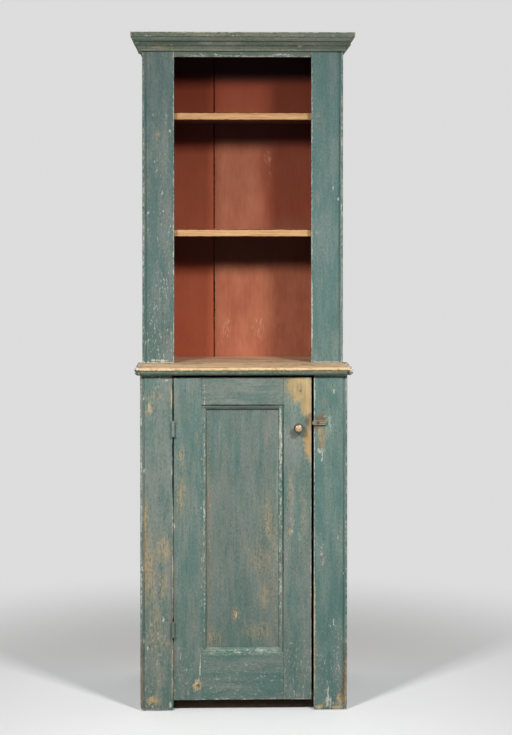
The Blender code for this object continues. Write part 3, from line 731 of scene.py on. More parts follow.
    def film(self, shade: Shade, weave: Weave) -> Socket:
        """The colour of the paint that is left.

        Args:
            shade: The material that is being wired.
            weave: The board's noises.

        Returns:
            The colour.
        """
        fleck, thread, mottle, hue = weave.fleck, weave.thread, weave.mottle, weave.hue
        faded = weave.drift * 0.60 + hue * 0.20 + fleck * 0.16 + thread * 0.09 + (0.5 + 0.5 * self.fade)
        colour = shade.mix(faded.ease(0.0, 1.0), self.cool, self.grey)
        colour = shade.mix((hue + weave.drift * 0.3).ease(0.15, 1.1) * 0.6, colour, self.blue)
        rose = (mottle - hue * 0.35 + thread * 0.12 + fleck * 0.12 + 0.3 * self.fade).ease(0.30, 1.1)
        colour = shade.mix(rose * 0.6, colour, self.rosy)
        colour = shade.lit(colour, fleck * 0.14 + thread * 0.055 + hue * 0.04 + mottle * 0.09 + 1.0)
        thinned = (thread * 0.25 + weave.dash * 0.40 - mottle * 0.7 + self.thin).ease(0.50, 1.3)
        colour = shade.mix(thinned * 0.4, colour, self.warm)
        pits = (thread * -0.5 - fleck * 1.1).ease(0.75, 1.4)
        return shade.mix(pits * 0.35, colour, self.dirt)

    def bare_edge(self, shade: Shade, box: Box) -> Signal:
        """How bare the edges are, from the distance to them.

        Args:
            shade: The material that is being wired.
            box: The board's lowest and highest corners.

        Returns:
            The bareness, 0 at the edge itself and less away from it.
        """
        left, right = self.bare
        near = shade.arris(box) * (-1 / self.edge)
        middle = (box[0].x + box[1].x) / 2
        side = shade.axes[0].ease(middle - SOFT_SEAM, middle + SOFT_SEAM)
        return near + side * (right - left) + left

    def lined(self, shade: Shade, colour: Input, bare: Input, inside: Inside, seed: float) -> Input:
        """Gives the faces that lie inside the case their own colour.

        Args:
            shade: The material that is being wired.
            colour: The board's colour so far.
            bare: The colour of its unpainted wood.
            inside: Which faces they are, and what they have.
            seed: A shift that makes the pattern its own.

        Returns:
            The colour with those faces.
        """
        axis = shade.axes[inside.axis]
        step = SEAM if inside.above else -SEAM
        within = axis.ease(inside.at - step, inside.at + step)
        lining = bare
        # A narrow gap's faces take dirt and painted shade
        if inside.soot_and_shade:
            lining = shade.lit(self.dirt, shade.noise((0.004, 0.004, 0.02), seed + 12.0) * 0.2 + 1.0)
        elif inside.red_from is not None:
            wash, _ = RedWash().layer(shade, seed + 11.0)
            upper = shade.axes[2].ease(inside.red_from - SOFT_SEAM, inside.red_from + SOFT_SEAM)
            lining = shade.mix(upper, bare, wash)
        return shade.mix(within, colour, lining)


class Bench:
    """Operator calls on one piece at a time."""

    @staticmethod
    def hold(piece: Piece) -> None:
        """Selects one piece alone and makes it active.

        Args:
            piece: The piece.
        """
        bpy.ops.object.select_all(action="DESELECT")
        piece.select_set(True)
        bpy.context.view_layer.objects.active = piece

    @staticmethod
    @contextmanager
    def editing(piece: Piece) -> Iterator[None]:
        """Keeps one piece in edit mode for a while.

        Args:
            piece: The piece.

        Returns:
            A context in which edit mode lasts.
        """
        Bench.hold(piece)
        bpy.ops.object.mode_set(mode="EDIT")
        yield
        bpy.ops.object.mode_set(mode="OBJECT")

    @staticmethod
    def clear(piece: Piece, kind: str) -> None:
        """Leaves nothing of a piece selected, and selects by points or by faces.

        Args:
            piece: The piece.
            kind: VERT for points or FACE for faces.
        """
        with Bench.editing(piece):
            bpy.ops.mesh.select_mode(type=kind)
            bpy.ops.mesh.select_all(action="DESELECT")

    @staticmethod
    def link(name: str, data: bpy.types.ID) -> Piece:
        """Puts an object with its data into the scene.

        Args:
            name: The object's name.
            data: Its mesh, lamp or camera.

        Returns:
            The object.
        """
        made = bpy.data.objects.new(name, data)
        bpy.context.scene.collection.objects.link(made)
        return made

    @staticmethod
    def copy_of(node: str, name: str) -> Piece:
        """Copies a node of the frame as a new piece with whole faces.

        Args:
            node: The node's name.
            name: The new piece's name.

        Returns:
            The copy, merged and with its flat faces in one piece.
        """
        piece = Bench.link(name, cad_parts[node].data.copy())
        with Bench.editing(piece):
            bpy.ops.mesh.select_all(action="SELECT")
            bpy.ops.mesh.remove_doubles(threshold=SAME_POINT)
            bpy.ops.mesh.dissolve_limited(angle_limit=FLAT)
        return piece

    @staticmethod
    def apply(piece: Piece, kind: str, **settings: object) -> None:
        """Adds a modifier, gives it its settings and applies it.

        Args:
            piece: The piece.
            kind: The modifier's type.
            settings: Its settings.
        """
        Bench.hold(piece)
        modifier = piece.modifiers.new(kind.lower(), kind)
        for name, value in settings.items():
            setattr(modifier, name, value)
        bpy.ops.object.modifier_apply(modifier=modifier.name)

    @staticmethod
    def erode(piece: Piece, group: str, depth: float, level: float, **grit: float) -> None:
        """Moves a group of points in and out unevenly.

        Args:
            piece: The piece.
            group: The name of the group.
            depth: How deep the wear goes.
            level: The value of the pattern that moves nothing.
            grit: The pattern's settings.
        """
        clouds = bpy.data.textures.new(f"{piece.name}_{group}", "CLOUDS")
        for name, value in grit.items():
            setattr(clouds, name, value)
        settings = {"texture": clouds, "texture_coords": "LOCAL", "vertex_group": group}
        Bench.apply(piece, "DISPLACE", strength=depth, mid_level=level, **settings)

    @staticmethod
    def smooth(piece: Piece, degrees: float) -> None:
        """Shades a piece smooth except over sharp edges."""
        Bench.hold(piece)
        bpy.ops.object.shade_smooth_by_angle(angle=math.radians(degrees))

    @staticmethod
    def pick_cap(piece: Piece, out: Vector) -> None:
        """Selects the face that lies farthest in one direction.

        Args:
            piece: The piece.
            out: The direction.
        """
        Bench.clear(piece, "FACE")
        facing = [face for face in piece.data.polygons if face.normal.dot(out) > SAME_WAY]
        far = max(face.center.dot(out) for face in facing)
        for face in facing:
            face.select = face.center.dot(out) > far - SAME_LEVEL

    @staticmethod
    def cut_slot(piece: Piece, out: Vector, half: float, depth: float) -> None:
        """Sinks a slot across the flat end of a round head.

        Args:
            piece: The head.
            out: The direction that the end faces.
            half: Half the slot's width.
            depth: The slot's depth.
        """
        Bench.pick_cap(piece, out)
        across = UP if abs(out.z) < 0.5 else Vector((0.0, 1.0, 0.0))
        cap = [face for face in piece.data.polygons if face.select]
        middle = sum((face.center * face.area for face in cap), Vector()) / sum(face.area for face in cap)
        for side in (-half, half):
            with Bench.editing(piece):
                bpy.ops.mesh.bisect(plane_co=middle + across * side, plane_no=across)
            Bench.pick_cap(piece, out)
        for face in piece.data.polygons:
            face.select = face.select and abs((face.center - middle).dot(across)) < half
        with Bench.editing(piece):
            bpy.ops.mesh.extrude_region_move(TRANSFORM_OT_translate={"value": out * -depth})

    @staticmethod
    def bisect(piece: Piece, axis: int, places: Iterable[float]) -> None:
        """Cuts a piece across at several places, without parting it.

        Args:
            piece: The piece.
            axis: The axis that the cuts are square to.
            places: Where they are on it.
        """
        normal = Vector([float(index == axis) for index in range(3)])
        with Bench.editing(piece):
            for place in places:
                bpy.ops.mesh.select_all(action="SELECT")
                bpy.ops.mesh.bisect(plane_co=normal * place, plane_no=normal)


@dataclass(frozen=True)
class Ageing:
    """How a board's long edges are rounded and worn.

    Attributes:
        soften: How far the edges are planed back.
        wander: How deep the wear goes in places.
        spacing: How far apart the wear changes.
        least: The shortest edge that is softened.
        sharp: The angle over which an edge is softened, in degrees.
        bent: The angle over which a point lies on a rounded edge, in degrees.
    """

    soften: float = 0.0009
    wander: float = 0.0013
    spacing: float = 0.012
    least: float = 0.030
    sharp: float = 50.0
    bent: float = 12.0

    def wear(self, piece: Piece, grain: Grain, seed: int) -> None:
        """Rounds a piece's long edges and wears them unevenly.

        Args:
            piece: The board.
            grain: The axis of its fibres.
            seed: The seed of the places where the wear changes.
        """
        self.mark_edges(piece, grain)
        bevel = {"limit_method": "WEIGHT", "use_clamp_overlap": False}
        Bench.apply(piece, "BEVEL", width=self.soften, segments=2, **bevel)
        draw = random.Random(seed)
        along = [vertex.co[grain.value] for vertex in piece.data.vertices]
        places = []
        place = min(along) + self.spacing
        while place < max(along) - self.spacing / 2:
            places.append(place + draw.uniform(-0.3, 0.3) * self.spacing)
            place += self.spacing
        Bench.bisect(piece, grain.value, places)
        self.mark_wear(piece)
        grit = {"noise_scale": 1.6 * self.spacing, "noise_depth": 3, "contrast": 1.6}
        Bench.erode(piece, "worn", self.wander, 1.25, **grit)
        Bench.smooth(piece, 20.0)

    def mark_edges(self, piece: Piece, grain: Grain) -> None:
        """Marks the long outer edges that follow the grain, for the bevel.

        Args:
            piece: The board.
            grain: The axis of its fibres.
        """
        mesh = piece.data
        weights = mesh.attributes.new("bevel_weight_edge", "FLOAT", "EDGE")
        sides: Dict[Tuple[int, int], List[int]] = {}
        for face in mesh.polygons:
            for key in face.edge_keys:
                sides.setdefault(key, []).append(face.index)
        for edge in mesh.edges:
            pair = sides[tuple(sorted(edge.vertices))]
            if len(pair) != 2:
                continue
            first, second = (mesh.polygons[index] for index in pair)
            ends = [mesh.vertices[index].co for index in edge.vertices]
            sharp = first.normal.dot(second.normal) < math.cos(math.radians(self.sharp))
            outer = (second.center - first.center).dot(first.normal) < 0.0
            run = abs((ends[1] - ends[0])[grain.value])
            if sharp and outer and run > self.least:
                weights.data[edge.index].value = 1.0

    def mark_wear(self, piece: Piece) -> None:
        """Weights the points of the rounded edges, most in the middle of the round.

        Args:
            piece: The board.
        """
        mesh = piece.data
        narrow = 3.0 * self.soften * self.spacing
        widest = [0.0] * len(mesh.vertices)
        spread = [1.0] * len(mesh.vertices)
        first: List[Optional[Vector]] = [None] * len(mesh.vertices)
        for face in mesh.polygons:
            for index in face.vertices:
                widest[index] = max(widest[index], face.area)
                if first[index] is None:
                    first[index] = face.normal.copy()
                spread[index] = min(spread[index], first[index].dot(face.normal))
        group = piece.vertex_groups.new(name="worn")
        for index, turn in enumerate(spread):
            if turn < math.cos(math.radians(self.bent)):
                group.add([index], 1.0 if widest[index] < narrow else 0.3, "REPLACE")


@dataclass
class Assembly:
    """A group of pieces that ride on one body.

    Attributes:
        body: The body's name.
        ageing: How its boards have worn.
        made: The pieces made so far.
    """

    body: str
    ageing: Ageing = field(default_factory=Ageing)
    made: List[Piece] = field(default_factory=list)

    def seat(self, piece: Piece, slot: str, material: Material, *nodes: str) -> Piece:
        """Gives a piece its finish and its body.

        Args:
            piece: The piece.
            slot: The record's material slot; not used.
            material: Its finish.
            nodes: The nodes that it stands for.

        Returns:
            The piece.
        """
        piece.data.materials.clear()
        piece.data.materials.append(material)
        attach(piece, self.body)
        if nodes:
            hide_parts(*nodes)
        self.made.append(piece)
        LOG.info("%s rides on %s", piece.name, self.body)
        return piece

    def board(self, node: str, seed: int, ageing: Optional[Ageing] = None) -> Piece:
        """Copies a board of the frame and wears its edges.

        Args:
            node: The board's node.
            seed: The seed of its wear.
            ageing: How it has worn, where that isn't as the rest.

        Returns:
            The worn board.
        """
        piece = Bench.copy_of(node, f"aged_{node}")
        (ageing or self.ageing).wear(piece, Grain.of(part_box(node)), seed)
        return piece


# Worn places of the case's front
CASE_RUBS = (
    # Lower left stile
    *worn(
        Coat.STAIN,
        (-266.5, 857, 12, 36, 1.1), (-256, 889, 30, 18, 0.8), (-278, 545, 8, 75, 0.9),
        (-228, 458, 26, 55, 1.25), (-226.5, 357, 16, 50, 1.1), (-266, 400, 22, 150, 1.15),
        (-250, 230, 34, 120, 0.6), (-213.5, 191.5, 20, 14, 0.75), (-236, 105, 12, 50, 0.6),
        (-260, 29, 30, 22, 1.25),
    ),
    *worn(
        Coat.WOOD,
        (-266.5, 857, 5, 18, 0.55), (-203.5, 878, 3, 45, 0.95), (-203, 100, 4, 100, 0.6),
        (-289, 75, 4.5, 90, 0.45), (-279, 545, 3.4, 45, 0.8), (-262, 30, 22, 13, 0.75),
    ),
    # Painted shade with dirt along the door's hinge gap
    *worn(Coat.DIRT_AND_SHADE, (-200.8, 770, 1.4, 200, 1.0)),
    *worn(
        Coat.GROUND_AND_HIGHLIGHT,
        (-200.5, 330, 3, 260, 0.18), (-250, 10, 40, 10, 0.25), (-248, 120, 50, 130, 0.1),
        (-227, 261.5, 4, 12, 0.95), (-283, 886, 4, 6, 1.0), (-281, 679, 3.5, 8, 1.0),
        (-286, 402, 3.5, 8, 1.0), (-283, 198, 4, 7, 1.0), (-288, 90, 3.5, 60, 0.8),
        (-207, 18, 4, 12, 0.9), (-218, 935, 4, 5, 0.9),
    ),
    *worn(Coat.GRIME, (-202, 300, 6.5, 290, 0.55), (-287.5, 110, 7, 150, 1.0)),
    *worn(Coat.RUST, (-279.5, 470, 5, 200, 0.42)),
    # Lower right stile, with the marks that the button has left round it
    *worn(
        Coat.GROUND_AND_HIGHLIGHT,
        (199, 500, 2.4, 460, 0.5), (199.5, 890, 3.2, 60, 0.95), (255, 906, 2.8, 12, 0.6),
        (210, 623, 3, 20, 0.3), (266, 491, 3, 6, 0.9), (282, 386, 3, 7, 0.9), (254, 251.5, 3, 13, 0.8),
        (282, 123, 3, 22, 0.8), (288, 100, 6, 100, 0.3), (248, 130, 48, 130, 0.1),
        (238, 45, 3.5, 34, 1.0), (237.5, 24, 8, 15, 0.8), (250, 12, 50, 12, 0.28),
        (246, 24, 3.5, 20, 1.0), (236.5, 22, 6.2, 20, 1.2), (227.5, 832.5, 12, 4, 0.6),
        (220, 735.5, 13, 8.5, 0.55), (220.5, 716, 2.6, 18, 0.9),
    ),
    *worn(
        Coat.WOOD,
        (198.5, 240, 5, 230, 0.9), (198.5, 125, 5.5, 100, 0.85), (289.5, 80, 4.8, 75, 0.6),
        (250, 9, 50, 8, 0.35), (277, 32, 13, 18, 0.8), (213, 8, 15, 9, 0.85), (266, 6, 18, 7, 0.85),
    ),
    *worn(Coat.BLEACHED_AND_LIT, (253, 915, 12, 30, 0.6), (239.5, 808, 16, 40, 1.5)),
    *worn(Coat.STAIN, (247.5, 916, 5, 16, 0.7), (250, 12, 40, 13, 0.8)),
    *worn(
        Coat.GRIME,
        (285, 100, 8.5, 120, 0.9), (281, 48, 13, 34, 1.1), (215.5, 827, 25, 17, 1.2),
        (204, 798, 9, 14, 1.1), (219, 752, 12, 12, 0.7),
    ),
    *worn(Coat.RUST, (220, 778, 16, 29, 0.85), (219, 752, 14, 16, 0.6)),
    # Upper stiles
    *worn(
        Coat.GROUND_AND_HIGHLIGHT,
        (-245, 1300, 55, 400, 0.04), (-211.7, 1646, 4, 6, 0.9), (-235, 1465, 4, 7, 0.9),
        (-232, 1412, 4, 5, 0.9), (-276, 1406, 3.5, 6, 0.9), (-209, 1369, 4, 6, 0.9),
        (-232, 1186, 16, 36, 0.32), (-244, 978, 34, 4.5, 0.9), (-262, 1080, 20, 80, 0.2),
        (-246, 1020, 42, 70, 0.14), (-200.5, 1450, 2.6, 420, 0.5), (278, 1447, 4.5, 5, 1.0),
        (289.5, 1418, 3.5, 26, 0.9), (291.5, 1009, 3.5, 31, 0.9), (263.6, 1479, 4, 6, 0.8),
        (200.5, 1299, 2.5, 30, 0.9), (201.2, 1120, 3.6, 160, 0.95),
    ),
    *worn(Coat.STAIN, (-249.6, 1632, 9, 26, 0.55)),
    *worn(
        Coat.BLEACHED_AND_LIT,
        (-222.5, 1690, 7, 7, 0.6), (-215.5, 1350, 7, 7, 0.7), (219, 1690, 7, 7, 0.6),
        (216, 1350, 7, 7, 0.7),
    ),
    *worn(Coat.WOOD, (201.2, 1110, 3.4, 150, 0.45)),
    # Painted shade with dirt in the quirks beside the beads, and paler beads: bleached paint with a
    # painted highlight
    *worn(
        Coat.DIRT_AND_SHADE,
        (-281.4, 1440, 1.7, 440, 0.5), (281.4, 1440, 2, 440, 0.6), (-281.4, 480, 1.7, 440, 0.35),
        (281.4, 480, 1.7, 440, 0.35),
    ),
    *worn(Coat.BLEACHED_AND_LIT, (-288.5, 1440, 5.5, 460, 0.55), (288.5, 1440, 5.5, 460, 0.95)),
    # Frieze
    *worn(Coat.GROUND_AND_HIGHLIGHT, (-115, 1865, 70, 6, 0.5), (0, 1863, 260, 3, 0.3), (112, 1865, 40, 6, 0.55)),
)

# Worn places of the cornice, along its members: its pale lines are worn ground with a painted highlight,
# its long dark lines painted shade with dirt, and one dark spot a nail hole
CORNICE_RUBS = (
    *worn(
        Coat.GROUND_AND_HIGHLIGHT,
        (0, 1929.2, 400, 2.6, 1.0), (0, 1917.8, 400, 2.2, 0.35), (0, 1893, 400, 1.8, 0.3),
        (163.6, 1892.5, 10, 5.5, 1.0),
    ),
    *worn(Coat.STAIN, (-100, 1924, 240, 5, 0.55), (-235, 1889, 50, 8, 0.85), (0, 1879.5, 400, 3.6, 0.65)),
    *worn(
        Coat.DIRT_AND_SHADE,
        (0, 1915.6, 400, 1.7, 0.5), (0, 1902.8, 400, 2, 0.5), (-316.7, 1922.5, 3.4, 3.4, 1.0),
    ),
    *worn(Coat.WOOD, (-235, 1887, 36, 2.2, 0.3), (113.5, 1879.5, 80, 3, 0.25)),
    *worn(Coat.GRIME, (150, 1890, 20, 4, 0.7)),
)

# Worn places of the door's front
DOOR_RUBS = (
    # Bare patch over the knob, and the edge that hands pull
    *worn(Coat.WOOD, (162, 918, 62, 64, 1.35), (195, 878, 52, 82, 1.45), (193, 762, 28, 85, 1.2)),
    *worn(
        Coat.GRIME,
        (156, 912, 18, 26, 0.45), (174, 880, 18, 40, 0.25), (180, 818, 8, 26, 1.5),
        (187, 834, 10, 12, 1.1), (188.5, 806, 8, 22, 0.8), (176, 778, 8, 24, 0.6),
    ),
    *worn(Coat.GROUND_AND_HIGHLIGHT, (213, 842, 26, 8, 0.45)),
    *worn(Coat.BLEACHED_AND_LIT, (150, 880, 60, 60, 0.45), (156, 918, 16, 18, 0.5)),
    *worn(
        Coat.RUST,
        (181, 762, 14, 52, 1.2), (131, 922, 14, 30, 0.55), (150, 893, 22, 22, 0.45),
        (176, 862, 22, 42, 0.4),
    ),
    # Hinge stile
    *worn(Coat.STAIN, (-131.5, 768, 8, 34, 0.5), (-175.5, 720, 14, 42, 1.0), (-178, 607, 15, 72, 1.1)),
    *worn(
        Coat.GROUND_AND_HIGHLIGHT,
        (-196, 523, 4, 10, 1.0), (-136, 78, 8, 10, 0.9), (-123.5, 125, 2.4, 40, 0.9),
        (-174, 105, 34, 85, 0.16),
    ),
    # Painted shade with dirt along the hinge gap
    *worn(Coat.DIRT_AND_SHADE, (-197.8, 770, 1.2, 200, 0.8)),
    *worn(Coat.GRIME, (-196.5, 300, 5.5, 290, 0.45), (-130, 70, 6, 9, 1.2), (-141, 80, 5, 6, 1.2)),
    *worn(Coat.WOOD, (-134, 73, 16, 21, 0.95)),
    # Latch stile
    *worn(Coat.STAIN, (131, 609, 10, 65, 0.8), (170, 560, 16, 110, 0.45)),
    *worn(Coat.WOOD, (133, 640, 4, 20, 0.5), (130, 504, 5, 9, 1.0)),
    *worn(Coat.BLEACHED_AND_LIT, (131, 505, 9, 13, 0.8), (158, 492, 7, 14, 0.8)),
    *worn(Coat.RUST, (130, 503, 6, 9, 1.0)),
    *worn(Coat.GROUND_AND_HIGHLIGHT, (136, 508, 2.8, 4, 0.8)),
    # Panel
    *worn(
        Coat.STAIN,
        (66, 540, 18, 100, 0.8), (48, 430, 46, 70, 0.55), (58, 322, 18, 50, 0.8), (-23, 269, 17, 26, 0.9),
        (-88, 202, 30, 40, 0.75), (46, 222, 50, 36, 0.65), (86, 400, 12, 240, 0.45),
    ),
    *worn(Coat.WOOD, (70, 540, 5, 45, 0.25), (-23, 269, 6, 12, 0.55)),
    # Crown of the moulding round the panel and the dirt beside it, with painted light on the right step
    # and the bottom moulding, and painted shadow under the top rail and in the right quirk
    *worn(
        Coat.GROUND_AND_HIGHLIGHT,
        (-111.5, 530, 3, 470, 0.5), (-102, 500, 8, 330, 0.1), (103, 520, 5, 360, 0.42),
        (103, 765, 5.4, 120, 0.78), (0, 167.5, 118, 4.5, 0.34), (-120.5, 530, 2, 480, 0.25),
    ),
    *worn(Coat.STAIN, (-101.5, 520, 10, 380, 0.3)),
    *worn(Coat.GRIME, (-102.5, 520, 8, 380, 0.45)),
    # Painted light: the moulding's right step and the bottom moulding lightened
    *worn(Coat.BLEACHED_AND_LIT, (96, 520, 6, 380, 0.7), (-4, 166, 150, 10.5, 1.4)),
    # Painted shadow with dirt under the top rail, in the top quirk and in the right quirk
    *worn(
        Coat.DIRT_AND_SHADE,
        (-60, 859, 70, 4.8, 0.42), (0, 859, 70, 4.8, 0.42), (54, 859, 70, 4.8, 0.42),
        (110.8, 620, 2.2, 340, 0.9), (-60, 864, 72, 2.6, 1.0), (54, 864, 72, 2.6, 1.0),
    ),
    # Nicks of the bottom edge
    *worn(
        Coat.GROUND_AND_HIGHLIGHT,
        (20, 80, 190, 55, 0.09), (150, 110, 40, 90, 0.12), (-60, 32.5, 30, 3, 0.7),
        (70, 32.5, 40, 2.6, 0.6), (0, 31.5, 200, 3, 0.35),
    ),
)

# Scuffed places of the back's red face, a dirty smudge, and painted shade along the seam between its
# boards
BACK_RUBS = (
    *worn(
        Coat.WOOD,
        (-44.3, 1050, 18, 45, 0.42), (50.4, 1056, 20, 40, 0.38), (79.4, 1575, 14, 28, 0.55),
        (86, 1515, 8, 40, 0.35),
    ),
    *worn(Coat.DIRT_AND_SHADE, (114.5, 1071, 9, 12, 0.3), (-83, 1165, 3, 175, 1.0), (-83, 1620, 2, 260, 0.8)),
)


# Nails of the upper stiles and of the top, and nails of the sides by the board that they hold
STILE_NAILS = ((-0.2225, 1.690), (0.219, 1.690), (-0.2155, 1.350), (0.216, 1.350))
TOP_NAILS = ((-0.2815, 0.045), (-0.2815, 0.180), (0.2815, 0.045), (0.2815, 0.180))
SIDE_NAILS = {
    "upper_shelf": (0.040, 0.160),
    "middle_shelf": (0.045, 0.155),
    "lower_shelf": (-0.130, 0.010, 0.160),
    "case_bottom": (-0.125, 0.015, 0.155),
}

# Screws of a hinge leaf: how high up the leaf, and how far in front of its rear edge
LEAF_SCREWS = ((0.18, 0.006), (0.50, 0.010), (0.82, 0.006))

# Nails of the back boards
BACK_NAILS = tuple(
    Rub(x, z, 0.0042, 0.0042, 1.0)
    for x in (-0.274, -0.100, -0.060, 0.110, 0.274)
    for z in (0.042, 0.490, 0.960, 1.349, 1.690, 1.896)
)


@dataclass
class Case(Assembly):
    """The sides, top, shelves and back of the case.

    Attributes:
        raw: The wood of the hidden boards.
        shelf: The bare wood of the shelves' front edges.
        shelf_stain_and_shade: The dark wood of their tops and undersides: a red-brown stain, dark enough
            to serve as painted shade under them.
        rust: The stain round the back's nails.
        edge_depth: How far back the bare edges reach.
        red_drop: How far the red wash of the sides starts under the waist board's top.
        raw_skin: How far in front of the back's rear face its raw wood starts, and is full.
    """

    body: str = "case"
    raw: Pine = Pine(tone(180, 148, 110), tone(150, 114, 76), tone(122, 98, 76), 0.35)
    shelf: Pine = Pine(tone(226, 180, 128), tone(200, 148, 98), tone(160, 110, 76), 0.2)
    shelf_stain_and_shade: Pine = Pine(tone(112, 64, 46), tone(88, 48, 36), tone(58, 34, 27), 0.5)
    rust: Colour = tone(66, 50, 40)
    edge_depth: float = 0.0016
    red_drop: float = 0.005
    raw_skin: Tuple[float, float] = (0.003, 0.002)

    def build(self) -> None:
        """Makes and dresses the case's boards."""
        self.build_sides()
        self.build_shelves()
        self.build_back()

    def build_sides(self) -> None:
        """The stepped sides: painted outside, washed red and bare inside."""
        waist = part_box("waist_board_rear")[1].z
        paint = WornPaint(chips=0.05, fade=0.1, bare=(0.1, 0.1))
        for seed, node in enumerate(("left_side", "right_side")):
            low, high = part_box(node)
            lining = Inside(0, (low.x + high.x) / 2, node == "left_side", waist - self.red_drop)
            material = paint.material(node, 20.0 + seed, (), (lining,))
            self.seat(self.board(node, seed), "green_paint", material, node)

    def build_shelves(self) -> None:
        """The shelves, the floor of the cupboard and the top."""
        fine = Ageing(soften=0.0006, wander=0.0012, spacing=0.010)
        for seed, node in enumerate(("upper_shelf", "middle_shelf")):
            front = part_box(node)[0].y
            shade = Shade(f"{node}_pine")
            bare, pores = self.shelf.layer(shade, Grain.ALONG, 30.0 + seed)
            # Behind the bare front edge the faces are dark: stain, and painted shade on the undersides
            dark, _ = self.shelf_stain_and_shade.layer(shade, Grain.ALONG, 32.0 + seed)
            smear = shade.streaks(Grain.ALONG, 0.003, 0.02, 33.0 + seed)
            behind = (shade.axes[1] - (front + self.edge_depth)) * 900.0
            behind = (behind + smear * 0.6).ease(-0.3, 0.3)
            edge = shade.lit(bare, smear * 0.10 + 1.0)
            material = shade.finish(shade.mix(behind, edge, dark), 0.72, pores * 0.00005, 0.2)
            self.seat(self.board(node, 10 + seed, fine), "bare_pine", material, node)
        for seed, node in enumerate(("lower_shelf", "case_bottom", "case_top")):
            plain = self.raw.material(f"{node}_pine", Grain.ALONG, 34.0 + seed)
            self.seat(self.board(node, 14 + seed), "bare_pine", plain, node)

    def build_back(self) -> None:
        """The back boards: red in front, raw behind with rusty nails."""
        washes = {
            "back_board_left": RedWash(tone(178, 90, 62), tone(196, 106, 76), streak=0.5, dim=0.80),
            "back_board_right": RedWash(tone(156, 86, 62), tone(192, 121, 92), streak=0.6, dim=0.76),
        }
        for seed, (node, wash) in enumerate(washes.items()):
            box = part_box(node)
            shade = Shade(f"{node}_wash")
            red, relief = wash.layer(shade, 40.0 + seed, [rub for rub in BACK_RUBS if rub.touches(box)])
            timber, pores = self.raw.layer(shade, Grain.UPRIGHT, 44.0 + seed)
            for nail in BACK_NAILS:
                if nail.touches(box):
                    timber = shade.mix(nail.depth(shade).ease(0.4, 1.0), timber, self.rust)
            behind = shade.axes[1].ease(*(box[1].y - skin for skin in self.raw_skin))
            colour = shade.mix(behind, red, timber)
            material = shade.finish(colour, 0.75, relief * 0.00004 + pores * 0.00003, 0.15)
            self.seat(self.board(node, 20 + seed), "red_wash", material, node)


@dataclass
class FaceFrame(Assembly):
    """The stiles and the frieze rail.

    Attributes:
        foot: How high the chipped part of a foot is.
        chip: How deep its chips are.
        gap_from: The height under which the left stile comes close to the door.
        swell: How much closer it comes.
        ramp: The height over which that grows.
        clear: How far it stays from the hinge, and over how much it starts.
        band: How wide the part of an edge is that swells.
        rim: How wide the part of a foot's edge is that chips.
    """

    body: str = "case"
    foot: float = 0.022
    chip: float = 0.0035
    gap_from: float = 0.63
    swell: float = 0.0028
    ramp: float = 0.08
    clear: float = 0.006
    band: float = 0.0015
    rim: float = 0.004

    def build(self) -> None:
        """Makes and dresses the face frames."""
        boards = {
            "upper_left_stile": WornPaint(
                tone(90, 114, 109), tone(120, 127, 121), fade=-0.25, chips=0.02, bare=(0.50, 0.10)
            ),
            "upper_right_stile": WornPaint(
                tone(92, 122, 117), tone(118, 135, 129), fade=-0.1, chips=-0.3, bare=(0.15, 0.45)
            ),
            "lower_left_stile": WornPaint(fade=0.30, chips=0.10, thin=0.15, bare=(0.60, -0.4)),
            "lower_right_stile": WornPaint(
                tone(88, 119, 112), tone(114, 132, 124), fade=-0.1, chips=0.1, bare=(0.20, 0.55)
            ),
            "frieze_rail": WornPaint(tone(90, 112, 100), tone(114, 122, 108), chips=0.2, bare=(0.2, 0.2)),
        }
        for seed, (node, paint) in enumerate(boards.items()):
            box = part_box(node)
            insides = [Inside(1, box[1].y - PAINT_LAP)]
            piece = self.board(node, 30 + seed)
            if node == "lower_left_stile":
                self.close_gap(piece)
                self.chip_foot(piece)
            if node == "lower_right_stile":
                # The latch gap's face: dirt and painted shade
                insides.append(Inside(0, box[0].x + GAP_LAP, False, soot_and_shade=True))
                self.chip_foot(piece)
            self.seat(piece, "green_paint", paint.material(node, 50.0 + seed, CASE_RUBS, insides), node)

    def close_gap(self, piece: Piece) -> None:
        """Swells a stile's lower length towards the door, clear of the hinge.

        Args:
            piece: The stile.
        """
        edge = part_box("lower_left_stile")[1].x
        low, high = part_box("lower_hinge_frame_leaf")
        hinge, half = (low.z + high.z) / 2, (high.z - low.z) / 2
        group = piece.vertex_groups.new(name="swell")
        for vertex in piece.data.vertices:
            away = min(1.0, max(0.0, (abs(vertex.co.z - hinge) - half - self.clear) / self.clear))
            down = min(1.0, max(0.0, (self.gap_from - vertex.co.z) / self.ramp))
            if vertex.co.x > edge - self.band:
                group.add([vertex.index], away * down, "REPLACE")
        settings = {"direction": "X", "vertex_group": "swell", "mid_level": 0.0}
        Bench.apply(piece, "DISPLACE", strength=self.swell, **settings)

    def chip_foot(self, piece: Piece) -> None:
        """Breaks the edges of a stile near the floor.

        Args:
            piece: The stile.
        """
        Bench.bisect(piece, 2, [self.foot * share for share in (0.12, 0.25, 0.4, 0.6, 0.8)])
        low, high = (corner.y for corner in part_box("lower_left_stile"))
        group = piece.vertex_groups.new(name="foot")
        sides = [vertex.co.x for vertex in piece.data.vertices]
        left, right = min(sides), max(sides)
        for vertex in piece.data.vertices:
            rim = min(vertex.co.x - left, right - vertex.co.x, vertex.co.y - low, high - vertex.co.y)
            if vertex.co.z < self.foot and rim < self.rim:
                group.add([vertex.index], 1.0 - vertex.co.z / self.foot, "REPLACE")
        grit = {"noise_scale": 0.011, "noise_depth": 2, "contrast": 2.0}
        Bench.erode(piece, "foot", self.chip, 1.2, **grit)


